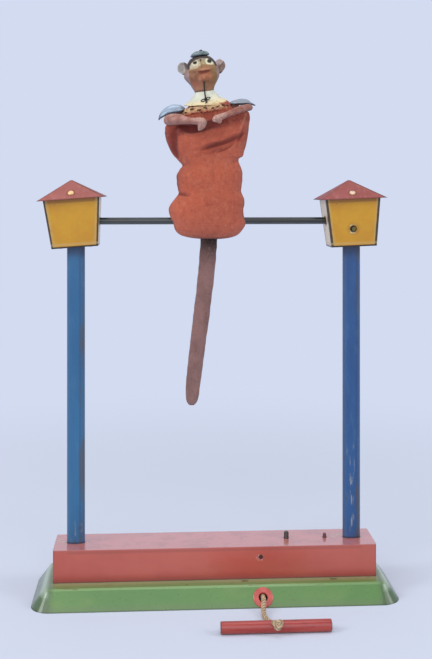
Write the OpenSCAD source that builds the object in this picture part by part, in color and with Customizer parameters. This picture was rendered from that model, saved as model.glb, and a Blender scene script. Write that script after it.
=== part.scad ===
// Clockwork tin acrobat: a cloth-dressed monkey that turns over on a bar between two lantern posts.
// Millimetres. The origin is on the floor under the middle of the base, +X to the right, +Y to the back.

/* [Sheet metal] */
// Thickness of the tinplate
tin = 0.6; // [0.4:0.05:0.8]

/* [Base] */
// Height of the green base
base_h = 11; // [10.8:0.1:14]
// How far the base stands out beyond each end of the red box, at the floor
base_end = 12.5; // [11:0.5:20]
// How far the base stands out beyond the front and back of the red box, at the floor
base_side = 17.5; // [16:0.5:24]
// How far the sides of the base lean in from the floor to the top
base_slope = 8.3; // [6:0.1:9]
// Corner radius of the base at the floor
base_corner = 12; // [11:0.5:15]
// Width of the hem turned in under the base
hem_w = 2.5; // [1.5:0.1:4]

/* [Red box] */
// Length of the red box
box_len = 200; // [196:1:230]
// Depth of the red box
box_depth = 29; // [28.6:0.1:34]
// Height of the red box
box_h = 20; // [19.6:0.1:26]
// Corner radius of the red box
box_corner = 0.9; // [0.7:0.1:1.6]
// Distance of the inner tabs from the middle of the box
tab_inner = 17; // [10:1:30]
// Distance of the outer tabs from the middle of the box
tab_outer = 73; // [60:1:80]
// Width of a tab
tab_w = 6; // [4:0.5:9]

/* [Posts] */
// Distance from the end of the box to the middle of a post
post_inset = 13; // [11:0.5:14]
// Width of a post, which is a flattened tube
post_w = 11.2; // [10:0.1:12]
// Depth of a post
post_t = 5.4; // [5.2:0.1:7]
// Wall of a post
post_wall = 0.7; // [0.5:0.1:0.9]
// Height of the crossbar above the floor
bar_h = 232; // [220:1:260]

/* [Lanterns] */
// Width of a lantern body at its top
lantern_top_w = 34.6; // [34:0.2:40]
// Width of a lantern body at its floor
lantern_floor_w = 28.6; // [28.4:0.2:32]
// Depth of a lantern body at its top
lantern_top_d = 24; // [23.4:0.2:32]
// Depth of a lantern body at its floor
lantern_floor_d = 19.6; // [19.2:0.2:26]
// Height of a lantern body
lantern_h = 30; // [29:0.5:34]
// How far the eaves of a roof stand out at its sides
eave_w = 3.7; // [3.5:0.1:6]
// How far the eaves of a roof stand out at its front and back
eave_d = 3.5; // [3.2:0.1:6]
// Rise of the roof
roof_rise = 11.7; // [10:0.1:14]
// Lean of the left lantern
left_lean = 4; // [0:0.1:4.2]
// Lean of the right lantern
right_lean = 2.2; // [0:0.1:3]

/* [Crossbar] */
// Diameter of the crossbar
bar_d = 4.4; // [4:0.1:4.8]
// Running clearance of a shaft in its bearing, on the radius
fit_gap = 0.05; // [0.02:0.01:0.08]

/* [Wheelwork] */
// Module of the wheels in the box
mesh_module = 0.8; // [0.78:0.01:0.82]
// Teeth of the drive gear
drive_teeth = 30; // [30:1:31]
// Teeth of the idler gear
idler_teeth = 31; // [31:2:31]
// Leaves of the pinion at the foot of the drive shaft
foot_leaves = 12; // [12:2:12]
// Module of the crown wheel in the right lantern
crown_module = 0.9; // [0.86:0.01:0.92]
// Teeth of the crown wheel
crown_teeth = 16; // [16:2:16]
// Leaves of the pinion at the top of the drive shaft
top_leaves = 8; // [8:2:8]
// Diameter of the drum arbor and of the drive shaft
arbor_d = 3; // [2.6:0.1:3.2]
// Diameter of the idler arbor
idler_d = 2.4; // [2:0.1:2.8]
// Thickness of the movement plate
plate_t = 0.8; // [0.6:0.1:1]
// Height of the drum arbor's end above the box
drum_stud = 4.2; // [3:0.1:7]
// Height of the idler arbor's end above the box
idler_stud = 2.6; // [1.5:0.1:4]

/* [Pull cord] */
// Diameter of the twine
cord_d = 3; // [2.4:0.1:3.1]
// Radius at which the twine leaves its drum
reel_r = 17.7; // [15:0.1:18]
// Turns of twine on the drum
reel_turns = 2.5; // [1.5:0.5:2.5]
// Length of the pull handle
handle_len = 63.5; // [50:0.5:80]
// Diameter of the pull handle
handle_d = 6.9; // [6.6:0.1:7.2]

/* [Figure] */
// Sideways place of the figure's middle on the bar
figure_x = -3.4; // [-10:0.2:10]
// Sideways tilt of the shoulders and head
shoulder_tilt = 8.8; // [0:0.1:10]
// Width of the wooden body
core_w = 26.8; // [22:0.2:28]
// Depth of the wooden body
core_d = 17; // [14:0.2:18]
// Largest radius of the head
head_r = 10; // [9:0.1:10.4]
// Length of the tail
tail_len = 105; // [80:1:120]
// Width of the tail where it leaves the gown
tail_w = 10.6; // [8:0.1:11]

/* [Hidden] */

$fn = 48;
// A small distance that keeps cuts clean
eps = 0.01;
// Gap between two pieces that are fixed together
seat_gap = 0.02;

// Colours
green = [0.42, 0.62, 0.36];
red = [0.74, 0.30, 0.30];
blue = [0.22, 0.42, 0.62];
ochre = [0.80, 0.58, 0.20];
roof_red = [0.72, 0.36, 0.36];
steel = [0.62, 0.62, 0.60];
brass = [0.76, 0.64, 0.36];
twine = [0.66, 0.55, 0.40];
orange = [0.76, 0.36, 0.26];
brown = [0.45, 0.28, 0.20];
cream = [0.90, 0.86, 0.72];
grey_blue = [0.50, 0.60, 0.66];
flesh = [0.66, 0.42, 0.36];
wood = [0.72, 0.56, 0.38];

// Base and box, worked out from the sizes above
base_len = box_len + 2 * base_end;
base_depth = box_depth + 2 * base_side;
base_bend = 1.2;
base_under = base_h - tin;
box_top = base_h + box_h;
box_under = box_top - tin;
box_in = box_depth / 2 - tin;
slope_angle = atan(base_slope / base_h);

// Posts and lanterns
post_x = box_len / 2 - post_inset;
lantern_floor = bar_h - 16;
post_top = lantern_floor + 2;
post_foot = base_h + 7;
socket_t = 1;
bracket_t = 1;
bracket_half = 12.6;
bracket_d = 12;
bracket_top = post_top + bracket_t;
bush_d = bar_d + 2;
bush_flange_d = bar_d + 3.6;
bush_flange_t = 0.8;
floor_gap = 0.6;
roof_cap = 1.2;
roof_w = lantern_top_w + 2 * eave_w;
roof_d = lantern_top_d + 2 * eave_d;
roof_angle = atan(roof_rise / (roof_d / 2 - roof_cap / 2));
rivet_up = 6;
front_hole_z = 11.2;
front_hole_d = 4.4;
pin_d = 2.6;
pin_x = -0.3;
lug_y = -6.8;
lug_t = 0.8;

// Wheelwork
mesh_add = 0.85;
mesh_ded = 1.2;
mesh_slack = 0.16;
shaft_x = post_x;
idler_x = shaft_x - mesh_module * (idler_teeth + foot_leaves) / 2;
drum_x = idler_x - mesh_module * (drive_teeth + idler_teeth) / 2;
eyelet_x = drum_x - reel_r;
plate_z = 1.2;
plate_top = plate_z + plate_t;
pivot_d = 1.8;
idler_pivot_d = 1.6;
reel_z = 5;
flange_t = 0.6;
channel = cord_d + 0.4;
wind_pitch = cord_d + 0.45;
reel_inner = reel_r - reel_turns * wind_pitch;
reel_flange_r = reel_r + cord_d / 2 + 0.3;
wheel_t = 1.6;
ratchet_z = base_h + 1.2;
ratchet_t = 1.2;
ratchet_r = 6;
ratchet_teeth = 12;
drive_z = ratchet_z + ratchet_t + 0.6;
click_pivot_r = 9.35;
click_pin_d = 1.6;
spring_h = 7;
spring_top = box_under - 2.2;
spring_z = spring_top - spring_h;
spring_t = 0.5;
spring_turns = 5;
spring_pitch = 1.5;
spring_start = arbor_d / 2 + spring_t / 2 + fit_gap;
anchor_z = spring_z + spring_h / 2;
anchor_x = eyelet_x;
anchor_d = 1.6;
opening_x0 = eyelet_x - 4;
opening_x1 = shaft_x + 9;
opening_d = 21;

// Crown wheel and its pinion
crown_r = crown_module * crown_teeth / 2;
top_pinion_r = crown_module * top_leaves / 2;
crown_face = 1.2;
crown_x = shaft_x - top_pinion_r;
crown_tip_x = crown_x + crown_module;
crown_root_x = crown_x - 1.1 * crown_module - 0.1;
crown_back_x = crown_root_x - 1.5;
crown_pinion_len = 5;
crown_pinion_z = bar_h - crown_r - crown_pinion_len / 2;
shaft_end = crown_pinion_z + crown_pinion_len + 0.3;
bar_end = post_x + bracket_half + 1.2;

// Figure, in a frame at the middle of the bar
neck_x = -1.3;
neck_up = 69;
shoulder_bar_w = 40;
shoulder_end = shoulder_bar_w / 2;
shoulder_bar_h = 5.2;
shoulder_bar_d = 7;
core_bottom = -6;
core_top = 66;
core_gap = 0.4;
body_pin_d = 2;
collar_z = 4.9;
collar_h = 8.3;
collar_r = 13.6;
collar_neck_r = 6.2;
neck_r = 2.6;
head_z = 13.4;
head_h = 21.6;
head_x = 1.2;
arm_r = 3.1;
plate_r = 11.4;
plate_x = 20.8;
plate_drop = -5.4;
plate_d = 13;

// Eyelet
eyelet_z = reel_z;
eyelet_y = -(base_depth / 2 - base_slope * eyelet_z / base_h);
eyelet_hole = cord_d + 2.2;
eyelet_d = 12;
barrel_d = eyelet_hole + 0.9;

// Pull cord: points from the eyelet's mouth to the knot, chosen by hand
cord_exit = [eyelet_x, eyelet_y - 2.2, reel_z];
handle_at = [31.2, -65.2, handle_d / 2];
handle_hole_x = 31.5;
handle_hole_tilt = 34;
hole_dir = [0, -cos(handle_hole_tilt), sin(handle_hole_tilt)];
hole_mid = [handle_hole_x, handle_at[1], handle_at[2]];
hole_half = handle_d / 2 + 0.05;
cord_route = [cord_exit, cord_exit + [0, -2, 0], cord_exit + [-0.3, -4, -0.2], [27, -37.5, 4],
  [26.5, -41, 3], [26.3, -44.5, 2.1], [26.6, -48, 1.7], [27.4, -51.5, 1.55], [28.8, -54.6, 1.52],
  [30.3, -57, 1.52], [31.2, -59, 1.52], [31.5, -60.6, 1.55], [31.5, -62.3, 1.82],
  hole_mid - hole_dir * 1.45, hole_mid, hole_mid + hole_dir * hole_half];

// One filled rectangle with round corners, standing on its middle
module round_plate(w, d, r) {
  square([w - 2 * r, d], center = true);
  square([w, d - 2 * r], center = true);
  for (sx = [-1, 1], sy = [-1, 1])
    translate([sx * (w / 2 - r), sy * (d / 2 - r)]) circle(r);
}

// A stadium with its length along X
module stadium(w, d) {
  square([w - d, d], center = true);
  for (s = [-1, 1]) translate([s * (w - d) / 2, 0]) circle(d = d);
}

// A cylinder along X, from x0 to x1
module rod_x(x0, x1, d) {
  translate([x0, 0, 0]) rotate([0, 90, 0]) cylinder(h = x1 - x0, d = d);
}

// A cylinder along Y, from y0 to y1
module rod_y(y0, y1, d) {
  translate([0, y1, 0]) rotate([90, 0, 0]) cylinder(h = y1 - y0, d = d);
}

// Involute of an angle in degrees
function inv_deg(a) = tan(a) * 180 / PI - a;

// Half the angle that a tooth takes at radius r
function tooth_half(teeth, m, r, slack) =
  let (base = m * teeth / 2 * cos(20))
  90 / teeth - slack / (m * teeth) * 180 / PI + inv_deg(20) - (r > base ? inv_deg(acos(base / r)) : 0);

// Radii at which a flank has a point, from root to tip
function flank_radii(teeth, m) =
  let (pitch = m * teeth / 2, tip = pitch + mesh_add * m, base = max(pitch * cos(20), pitch - 0.7 * m))
  [pitch - mesh_ded * m, base, (base + pitch) / 2, pitch, (pitch + tip) / 2, tip];

// Outline of a spur wheel with a tooth pointing along +X
function gear_outline(teeth, m, slack) =
  let (radii = flank_radii(teeth, m), last = len(radii) - 1)
  [for (k = [0 : teeth - 1], side = [-1, 1], i = [0 : last])
    let (r = side < 0 ? radii[i] : radii[last - i], a = 360 * k / teeth + side * tooth_half(teeth, m, r, slack))
    [r * cos(a), r * sin(a)]];

// A spur wheel, its bore and its four crossings
module spur_wheel(teeth, m, h, bore, crossed) {
  root_r = m * teeth / 2 - mesh_ded * m;
  rim_in = root_r - 3.2;
  difference() {
    linear_extrude(h) polygon(gear_outline(teeth, m, mesh_slack));
    translate([0, 0, -1]) cylinder(h = h + 2, d = bore);
    if (crossed)
      translate([0, 0, -1]) linear_extrude(h + 2)
        difference() {
          circle(rim_in);
          circle(bore / 2 + 2.4);
          for (a = [45, 135]) rotate(a) square([3 * rim_in, 2.2], center = true);
        }
  }
}

// Rings of a swept tube: direction of the route at point i, and a frame across it
function dir_at(p, i) =
  let (a = p[max(i - 1, 0)], b = p[min(i + 1, len(p) - 1)], d = b - a) d / norm(d);
function across(d) =
  let (up = abs(d[2]) > 0.9 ? [0, 1, 0] : [0, 0, 1], u = cross(up, d)) u / norm(u);
function ring_at(p, i, rx, ry, n) =
  let (d = dir_at(p, i), u = across(d), v = cross(d, u))
  [for (k = [0 : n - 1]) p[i] + u * rx * cos(360 * (k + 0.5) / n) + v * ry * sin(360 * (k + 0.5) / n)];

// Faces that join rings of n points, with both ends closed
function skin_faces(rings, n) = concat(
  [for (i = [0 : rings - 2], k = [0 : n - 1]) each
    [[i * n + k, (i + 1) * n + k, (i + 1) * n + (k + 1) % n],
     [i * n + k, (i + 1) * n + (k + 1) % n, i * n + (k + 1) % n]]],
  [for (k = [1 : n - 2]) [0, k, k + 1]],
  [for (k = [1 : n - 2]) [(rings - 1) * n, (rings - 1) * n + k + 1, (rings - 1) * n + k]]);

// A tube swept along points; radii is one value for each point
module tube(p, radii, n, flat = 1) {
  polyhedron(
    points = [for (i = [0 : len(p) - 1]) each ring_at(p, i, radii[i], radii[i] * flat, n)],
    faces = skin_faces(len(p), n));
}

// The same value for every point of a route
function even(p, r) = [for (q = p) r];

// Outer form of the base, or of its hollow where it is drawn in by inset
module base_form(inset, top) {
  r = base_corner - inset;
  lean = base_slope / base_h;
  shoulder = top - base_bend;
  hull()
    for (sx = [-1, 1], sy = [-1, 1])
      translate([sx * (base_len / 2 - base_corner), sy * (base_depth / 2 - base_corner), 0])
        rotate_extrude($fn = 32)
          polygon([[0, 0], [r, 0], [r - lean * shoulder, shoulder], [r - lean * top - 0.7, top], [0, top]]);
}

// Base: a pressed tray with an opening for the wheelwork, slots for the tabs and a hole for the eyelet
module plinth() {
  color(green)
  difference() {
    base_form(0, base_h);
    translate([0, 0, tin]) base_form(tin / cos(slope_angle), base_under - tin);
    translate([0, 0, -1]) linear_extrude(tin + 2)
      round_plate(base_len - 2 * hem_w, base_depth - 2 * hem_w, base_corner - hem_w);
    translate([opening_x0, -opening_d / 2, base_under - 1])
      cube([opening_x1 - opening_x0, opening_d, tin + 2]);
    for (sx = [-1, 1], x = [tab_inner, tab_outer], sy = [-1, 1])
      translate([sx * x - tab_w / 2 - 0.2, sy * (box_depth / 2 - tin / 2) - tin / 2 - 0.1, base_under - 1])
        cube([tab_w + 0.4, tin + 0.2, tin + 2]);
    eyelet_place() rotate([180, 0, 0]) translate([0, 0, -2]) cylinder(h = 6, d = barrel_d + 2 * seat_gap);
  }
}

// Frame of the eyelet: on the front slope, its axis square to the metal and pointing out
module eyelet_place() {
  translate([eyelet_x, eyelet_y, eyelet_z]) rotate([90 - slope_angle, 0, 0]) children();
}

// Eyelet: a flat ring outside with a short barrel turned through the metal
module cord_eyelet() {
  wall = tin + 0.15;
  color(red)
  eyelet_place()
  rotate_extrude()
    polygon([[eyelet_hole / 2, -wall], [barrel_d / 2, -wall], [barrel_d / 2, seat_gap],
      [eyelet_d / 2, seat_gap], [eyelet_d / 2, 0.35], [eyelet_d / 2 - 0.5, 0.6],
      [eyelet_hole / 2 + 0.4, 0.6], [eyelet_hole / 2, 0.25]]);
}

// Red box: a folded cover, open beneath, with bent tabs under the top of the base
module housing() {
  tab_drop = tin + 0.8;
  color(red) {
    difference() {
      translate([0, 0, base_h]) linear_extrude(box_h) round_plate(box_len, box_depth, box_corner);
      translate([0, 0, base_h - 1]) linear_extrude(box_h + 1 - tin)
        round_plate(box_len - 2 * tin, box_depth - 2 * tin, box_corner - tin);
      for (s = [-1, 1])
        translate([s * post_x, 0, box_under - 1]) linear_extrude(tin + 2) post_section(seat_gap);
      translate([drum_x, 0, box_under - 1]) cylinder(h = tin + 2, d = arbor_d + 0.6);
      translate([idler_x, 0, box_under - 1]) cylinder(h = tin + 2, d = idler_d + 0.6);
      translate([anchor_x, 0, anchor_z]) rod_y(-box_depth / 2 - 1, -box_in + 1, anchor_d + 2 * seat_gap);
    }
    for (sx = [-1, 1], x = [tab_inner, tab_outer], sy = [-1, 1])
      translate([sx * x - tab_w / 2, 0, 0]) {
        translate([0, sy * (box_depth / 2 - tin / 2) - tin / 2, base_h - tab_drop])
          cube([tab_w, tin, tab_drop + 1]);
        translate([0, sy * (box_depth / 2 + 1.2) - 1.2 - tin / 2, base_h - tab_drop - 0.4])
          cube([tab_w, 2.4 + tin, tin + 0.3]);
      }
  }
}

// Rivet in the front of the box that holds the outer end of the mainspring
module spring_anchor() {
  color(steel)
  translate([anchor_x, 0, anchor_z]) {
    rod_y(-box_depth / 2 - 0.4, -box_depth / 2 - seat_gap, 2.6);
    rod_y(-box_depth / 2 - 0.2, -box_in + 1.4, anchor_d);
    rod_y(-box_in + 0.95, -box_in + 1.5, 2.6);
  }
}

// Places of the four pillars
pillar_left_x = eyelet_x - 5.4;
pillar_right_x = shaft_x + 8;
pillar_y = 17.5;
module each_pillar() {
  for (s = [-1, 1]) {
    translate([pillar_left_x, s * pillar_y, 0]) children();
    translate([pillar_right_x, s * pillar_y, 0]) children();
  }
}

// Lower plate of the movement
module movement_plate() {
  arm_w = 8;
  color(brass)
  difference() {
    translate([0, 0, plate_z]) linear_extrude(plate_t) {
      translate([pillar_left_x, -7]) square([pillar_right_x - pillar_left_x, 14]);
      for (x = [pillar_left_x, pillar_right_x])
        translate([x, 0]) round_plate(arm_w, 2 * pillar_y + arm_w, 2);
    }
    each_pillar() translate([0, 0, plate_z - 1]) cylinder(h = plate_t + 2, d = 2 + 2 * seat_gap);
    translate([drum_x, 0, plate_z - 1]) cylinder(h = plate_t + 2, d = pivot_d + 2 * fit_gap);
    translate([idler_x, 0, plate_z - 1]) cylinder(h = plate_t + 2, d = idler_pivot_d + 2 * fit_gap);
    translate([shaft_x, 0, plate_z - 1]) cylinder(h = plate_t + 2, d = pivot_d + 2 * fit_gap);
  }
}

// Pillars that hang the movement plate under the base
module plate_pillars() {
  color(brass)
  each_pillar()
    rotate_extrude()
      polygon([[0, plate_z - 0.5], [1.4, plate_z - 0.5], [1.7, plate_z - seat_gap], [1, plate_z - seat_gap],
        [1, plate_top + seat_gap], [2, plate_top + seat_gap], [2, base_under - seat_gap],
        [0, base_under - seat_gap]]);
}

// Bushes under the top of the box for the two arbors
module top_bushes() {
  bush_h = 1.7;
  color(brass) {
    translate([drum_x, 0, box_under - bush_h]) difference() {
      cylinder(h = bush_h - seat_gap, d = arbor_d + 3);
      translate([0, 0, -1]) cylinder(h = bush_h + 2, d = arbor_d + 2 * fit_gap);
    }
    translate([idler_x, 0, box_under - bush_h]) difference() {
      cylinder(h = bush_h - seat_gap, d = idler_d + 3);
      translate([0, 0, -1]) cylinder(h = bush_h + 2, d = idler_d + 2 * fit_gap);
    }
  }
}

// Outline of a post's section, grown by a gap
module post_section(gap) {
  stadium(post_w + 2 * gap, post_t + 2 * gap);
}

// One post: a flattened tube with its flat side to the front
module post(side) {
  color(blue)
  translate([side * post_x, 0, post_foot]) difference() {
    linear_extrude(post_top - post_foot) post_section(0);
    translate([0, 0, -1]) linear_extrude(post_top - post_foot + 2) post_section(-post_wall);
  }
}
module left_post() { post(-1); }
module right_post() { post(1); }

// Flanged sockets under the top of the box that hold the feet of the posts
module post_sockets() {
  full = box_under - seat_gap - post_foot;
  color(steel)
  for (s = [-1, 1])
    translate([s * post_x, 0, post_foot]) difference() {
      union() {
        linear_extrude(full) post_section(socket_t);
        translate([0, 0, full + seat_gap - socket_t]) linear_extrude(socket_t - seat_gap) post_section(4);
      }
      translate([0, 0, -1]) linear_extrude(full + 2) post_section(seat_gap);
    }
}

// Bearing bracket: a bent strip on the top of a post, with an ear for the bar at each end
module bracket(side, shaft) {
  ear_w = 12;
  ear_h = bar_h - bracket_top;
  difference() {
    union() {
      translate([-bracket_half, -bracket_d / 2, post_top + seat_gap])
        cube([2 * bracket_half, bracket_d, bracket_t]);
      for (s = [-1, 1])
        translate([s * (bracket_half - bracket_t / 2) - bracket_t / 2, 0, 0]) {
          translate([0, -ear_w / 2, post_top + bracket_t / 2]) cube([bracket_t, ear_w, ear_h]);
          translate([0, 0, bar_h]) rod_x(0, bracket_t, ear_w);
        }
      if (shaft) {
        translate([pin_x - 2, lug_y, post_top + seat_gap]) cube([4, lug_t, front_hole_z + 1]);
        translate([pin_x - 2, lug_y, post_top + seat_gap]) cube([4, 2, bracket_t]);
      }
    }
    translate([0, 0, bar_h]) rod_x(-bracket_half - 1, bracket_half + 1, bush_d + 2 * seat_gap);
    for (s = [-1, 1])
      translate([s * 9.2, 0, post_top - 1]) cylinder(h = bracket_t + 2, d = 2.6);
    if (shaft) {
      translate([0, 0, post_top - 1]) cylinder(h = bracket_t + 2, d = arbor_d + 1);
      translate([pin_x, 0, lantern_floor + front_hole_z]) rod_y(lug_y - 1, lug_y + lug_t + 1, pin_d + 0.3);
    }
  }
}
module left_bracket() { color(steel) translate([-post_x, 0, 0]) bracket(-1, false); }
module right_bracket() { color(steel) translate([post_x, 0, 0]) bracket(1, true); }

// Flanged bushes in the two ears of a bracket, flanges inward
module bar_bushes(side) {
  color(brass)
  translate([side * post_x, 0, bar_h])
    for (s = [-1, 1])
      mirror([s < 0 ? 1 : 0, 0, 0]) difference() {
        union() {
          rod_x(bracket_half - bracket_t - bush_flange_t, bracket_half - bracket_t - seat_gap, bush_flange_d);
          rod_x(bracket_half - bracket_t - bush_flange_t, bracket_half, bush_d);
        }
        rod_x(0, bracket_half + 2, bar_d + 2 * fit_gap);
      }
}
module left_bar_bushes() { bar_bushes(-1); }
module right_bar_bushes() { bar_bushes(1); }

// Frame of a lantern: at the middle of its floor, leaning to the left
module lantern_place(side) {
  translate([side * post_x, 0, lantern_floor])
    rotate([0, side < 0 ? -left_lean : -right_lean, 0]) children();
}

// A block with a rectangular floor and top
module frustum(w0, d0, w1, d1, h) {
  polyhedron(
    points = concat([for (c = [[-1, -1], [1, -1], [1, 1], [-1, 1]]) [c[0] * w0 / 2, c[1] * d0 / 2, 0]],
      [for (c = [[-1, -1], [1, -1], [1, 1], [-1, 1]]) [c[0] * w1 / 2, c[1] * d1 / 2, h]]),
    faces = [[0, 1, 2, 3], [0, 4, 5, 1], [1, 5, 6, 2], [2, 6, 7, 3], [3, 7, 4, 0], [7, 6, 5, 4]]);
}

// Frame on the front or back slope of a roof: X across, Y up the slope, Z out of it
module roof_face(s) {
  rotate([0, 0, s > 0 ? 180 : 0])
    translate([0, -roof_d / 2, lantern_h]) rotate([roof_angle, 0, 0]) children();
}

// Lantern body: folded tin with a floor, two roof tabs and its holes
module lantern_body(side, front_hole) {
  rise = 1.2;
  grow_w = (lantern_top_w - lantern_floor_w) / lantern_h;
  grow_d = (lantern_top_d - lantern_floor_d) / lantern_h;
  full = lantern_h + rise;
  tab_s = (roof_d - lantern_top_d) / 2 / cos(roof_angle) - 1;
  color(ochre)
  difference() {
    lantern_place(side) lantern_shell(full, grow_w, grow_d, tab_s, front_hole);
    translate([side * post_x, 0, bar_h])
      rod_x(side < 0 ? 0 : -lantern_top_w, side < 0 ? lantern_top_w : 0, bar_d + 2.2);
  }
}

// Walls, floor and roof tabs of a lantern body, in its own frame
module lantern_shell(full, grow_w, grow_d, tab_s, front_hole) {
  difference() {
    frustum(lantern_floor_w, lantern_floor_d, lantern_floor_w + grow_w * full,
      lantern_floor_d + grow_d * full, full);
    translate([0, 0, tin])
      frustum(lantern_floor_w - 2 * tin, lantern_floor_d - 2 * tin,
        lantern_floor_w + grow_w * (full + 1) - 2 * tin, lantern_floor_d + grow_d * (full + 1) - 2 * tin,
        full + 1);
    translate([0, 0, -1]) linear_extrude(tin + 2) post_section(floor_gap);
    for (s = [-1, 1]) translate([s * 9.2, 0, -1]) cylinder(h = tin + 2, d = 1.9);
    if (front_hole) translate([pin_x, 0, front_hole_z]) rod_y(-lantern_top_d, 0, front_hole_d);
  }
  for (s = [-1, 1])
    roof_face(s) translate([-4, tab_s, -2 * tin - 0.06]) difference() {
      cube([8, 7, tin]);
      translate([4, rivet_up - tab_s, -1]) cylinder(h = tin + 2, d = 1.5);
    }
}
module left_lantern_body() { lantern_body(-1, false); }
module right_lantern_body() { lantern_body(1, true); }

// Lantern roof: a low pyramid with thin eaves
module lantern_roof(side) {
  lower = tin / cos(roof_angle);
  color(roof_red)
  lantern_place(side)
  difference() {
    translate([0, 0, lantern_h]) frustum(roof_w, roof_d, roof_cap, roof_cap, roof_rise);
    translate([0, 0, lantern_h - lower - eps]) frustum(roof_w, roof_d, roof_cap, roof_cap, roof_rise);
    for (s = [-1, 1])
      roof_face(s) translate([0, rivet_up, -tin - 1]) cylinder(h = tin + 2, d = 1.5);
  }
}
module left_lantern_roof() { lantern_roof(-1); }
module right_lantern_roof() { lantern_roof(1); }

// Domed rivets that hold the roofs to the tabs, front and back
module roof_rivets() {
  color(cream)
  for (side = [-1, 1], s = [-1, 1])
    lantern_place(side) roof_face(s) translate([0, rivet_up, 0])
      rotate_extrude()
        polygon([[0, -2 * tin - 0.7], [1.2, -2 * tin - 0.6], [1.2, -2 * tin - 0.1], [0.72, -2 * tin - 0.1],
          [0.72, seat_gap], [1.9, seat_gap], [1.7, 0.5], [1.1, 0.9], [0, 1.05]]);
}

// Rivets that hang the lantern floors from the brackets
module lantern_rivets() {
  color(steel)
  for (side = [-1, 1], s = [-1, 1])
    lantern_place(side) translate([s * 9.2, 0, 0])
      rotate_extrude()
        polygon([[0, -0.7], [1.5, -0.5], [1.7, -seat_gap], [0.9, -seat_gap], [0.9, 4], [1.7, 4],
          [1.5, 4.5], [0, 4.7]]);
}

// Pin behind the hole in the front of the right lantern, held in the bracket's lug
module lantern_pin() {
  color(steel)
  translate([post_x + pin_x, 0, lantern_floor + front_hole_z]) {
    rod_y(-(lantern_floor_d / 2 + 0.9), lug_y + lug_t + 0.6, pin_d);
    rod_y(lug_y - 1, lug_y - seat_gap, pin_d + 0.9);
  }
}

// Bushes for the drive shaft inside the right post, at the foot and at the top
module shaft_bushes() {
  color(brass)
  for (z = [post_foot, post_top - 5])
    translate([shaft_x, 0, z]) difference() {
      linear_extrude(5) post_section(-post_wall - seat_gap);
      translate([0, 0, -1]) cylinder(h = 7, d = arbor_d + 2 * fit_gap);
    }
}

// Mainspring: a flat spiral round the drum arbor, its tail led to the anchor rivet
function spiral_r(a) = spring_start + spring_pitch * a / 360;
spring_a0 = 287;
spring_steps = 24;
spring_path = concat(
  [for (i = [0 : spring_turns * spring_steps])
    let (a = i * 360 / spring_steps) spiral_r(a) * [cos(spring_a0 - a), sin(spring_a0 - a)]],
  [[-1, -10.1], [-5.5, -11.4], [-10, -12.6], [-14.2, -box_in + 0.7],
   [anchor_x - drum_x, -box_in + 0.6], [anchor_x - drum_x - 2.4, -box_in + 0.6]]);
function flat_dir(p, i) =
  let (d = p[min(i + 1, len(p) - 1)] - p[max(i - 1, 0)]) d / norm(d);
function ribbon(p, t) = concat(
  [for (i = [0 : len(p) - 1]) let (d = flat_dir(p, i)) p[i] + t / 2 * [-d[1], d[0]]],
  [for (i = [len(p) - 1 : -1 : 0]) let (d = flat_dir(p, i)) p[i] - t / 2 * [-d[1], d[0]]]);
module mainspring() {
  color(steel)
  difference() {
    translate([drum_x, 0, spring_z]) linear_extrude(spring_h) polygon(ribbon(spring_path, spring_t));
    translate([anchor_x, 0, anchor_z]) rod_y(-box_in - 1, -box_in + 2.5, anchor_d + 2 * seat_gap);
  }
}

// Crossbar
module crossbar() {
  color(steel)
  translate([0, 0, bar_h]) difference() {
    rod_x(-bar_end, bar_end, bar_d);
    translate([figure_x, 0, -bar_d]) cylinder(h = 2 * bar_d, d = body_pin_d + 2 * seat_gap);
  }
}

// Collar that keeps the bar in place in the left lantern
module bar_collar() {
  collar_x = -post_x + bracket_half - bracket_t - bush_flange_t - 0.3;
  color(brass)
  translate([0, 0, bar_h]) difference() {
    rod_x(collar_x - 2.6, collar_x, bar_d + 3.4);
    rod_x(collar_x - 4, collar_x + 1, bar_d + 2 * seat_gap);
    translate([collar_x - 1.3, 0, 0]) cylinder(h = 10, d = 1.2);
  }
}

// Crown wheel: a disc with teeth that stand along the bar, and a long hub
module crown_wheel() {
  hub_x = post_x - bracket_half + bracket_t + bush_flange_t + 0.3;
  half_at = PI * crown_module / 4 - 0.14;
  color(brass)
  translate([0, 0, bar_h]) difference() {
    union() {
      rod_x(hub_x, crown_back_x + eps, bar_d + 3);
      rod_x(crown_back_x, crown_root_x, 2 * crown_r + crown_face);
      for (k = [0 : crown_teeth - 1])
        rotate([k * 360 / crown_teeth, 0, 0])
          translate([0, 0, -crown_r - crown_face / 2])
            linear_extrude(crown_face)
              polygon([[crown_root_x - 0.2, -half_at - 0.35], [crown_x, -half_at],
                [crown_tip_x - 0.15, -half_at + 0.3], [crown_tip_x - 0.15, half_at - 0.3],
                [crown_x, half_at], [crown_root_x - 0.2, half_at + 0.35]]);
    }
    rod_x(hub_x - 1, crown_tip_x + 1, bar_d + 2 * seat_gap);
    translate([(hub_x + crown_back_x) / 2, 0, 0]) cylinder(h = 10, d = 1.2);
    for (a = [0 : 60 : 300])
      rotate([a, 0, 0]) translate([0, 0, crown_r - 2.1]) rod_x(crown_back_x - 1, crown_root_x + 1, 1.6);
  }
}

// Frame of the figure: on the bar
module figure_place() {
  translate([figure_x, 0, bar_h]) children();
}

// Frame of the shoulders: between them, tilted
module shoulder_place() {
  figure_place() translate([neck_x, 0, neck_up]) rotate([0, -shoulder_tilt, 0]) children();
}

// Outer form of the wooden body, grown by gap for the hollow of the gown
module core_form(gap) {
  figure_place()
    translate([0, 0, core_bottom - gap]) linear_extrude(core_top - core_bottom + 2 * gap)
      stadium(core_w + 2 * gap, core_d + 2 * gap);
  shoulder_place()
    translate([0, 0, -1]) cube([shoulder_bar_w + 2 * gap, shoulder_bar_d + 2 * gap, shoulder_bar_h + 2 * gap],
      center = true);
}

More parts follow.
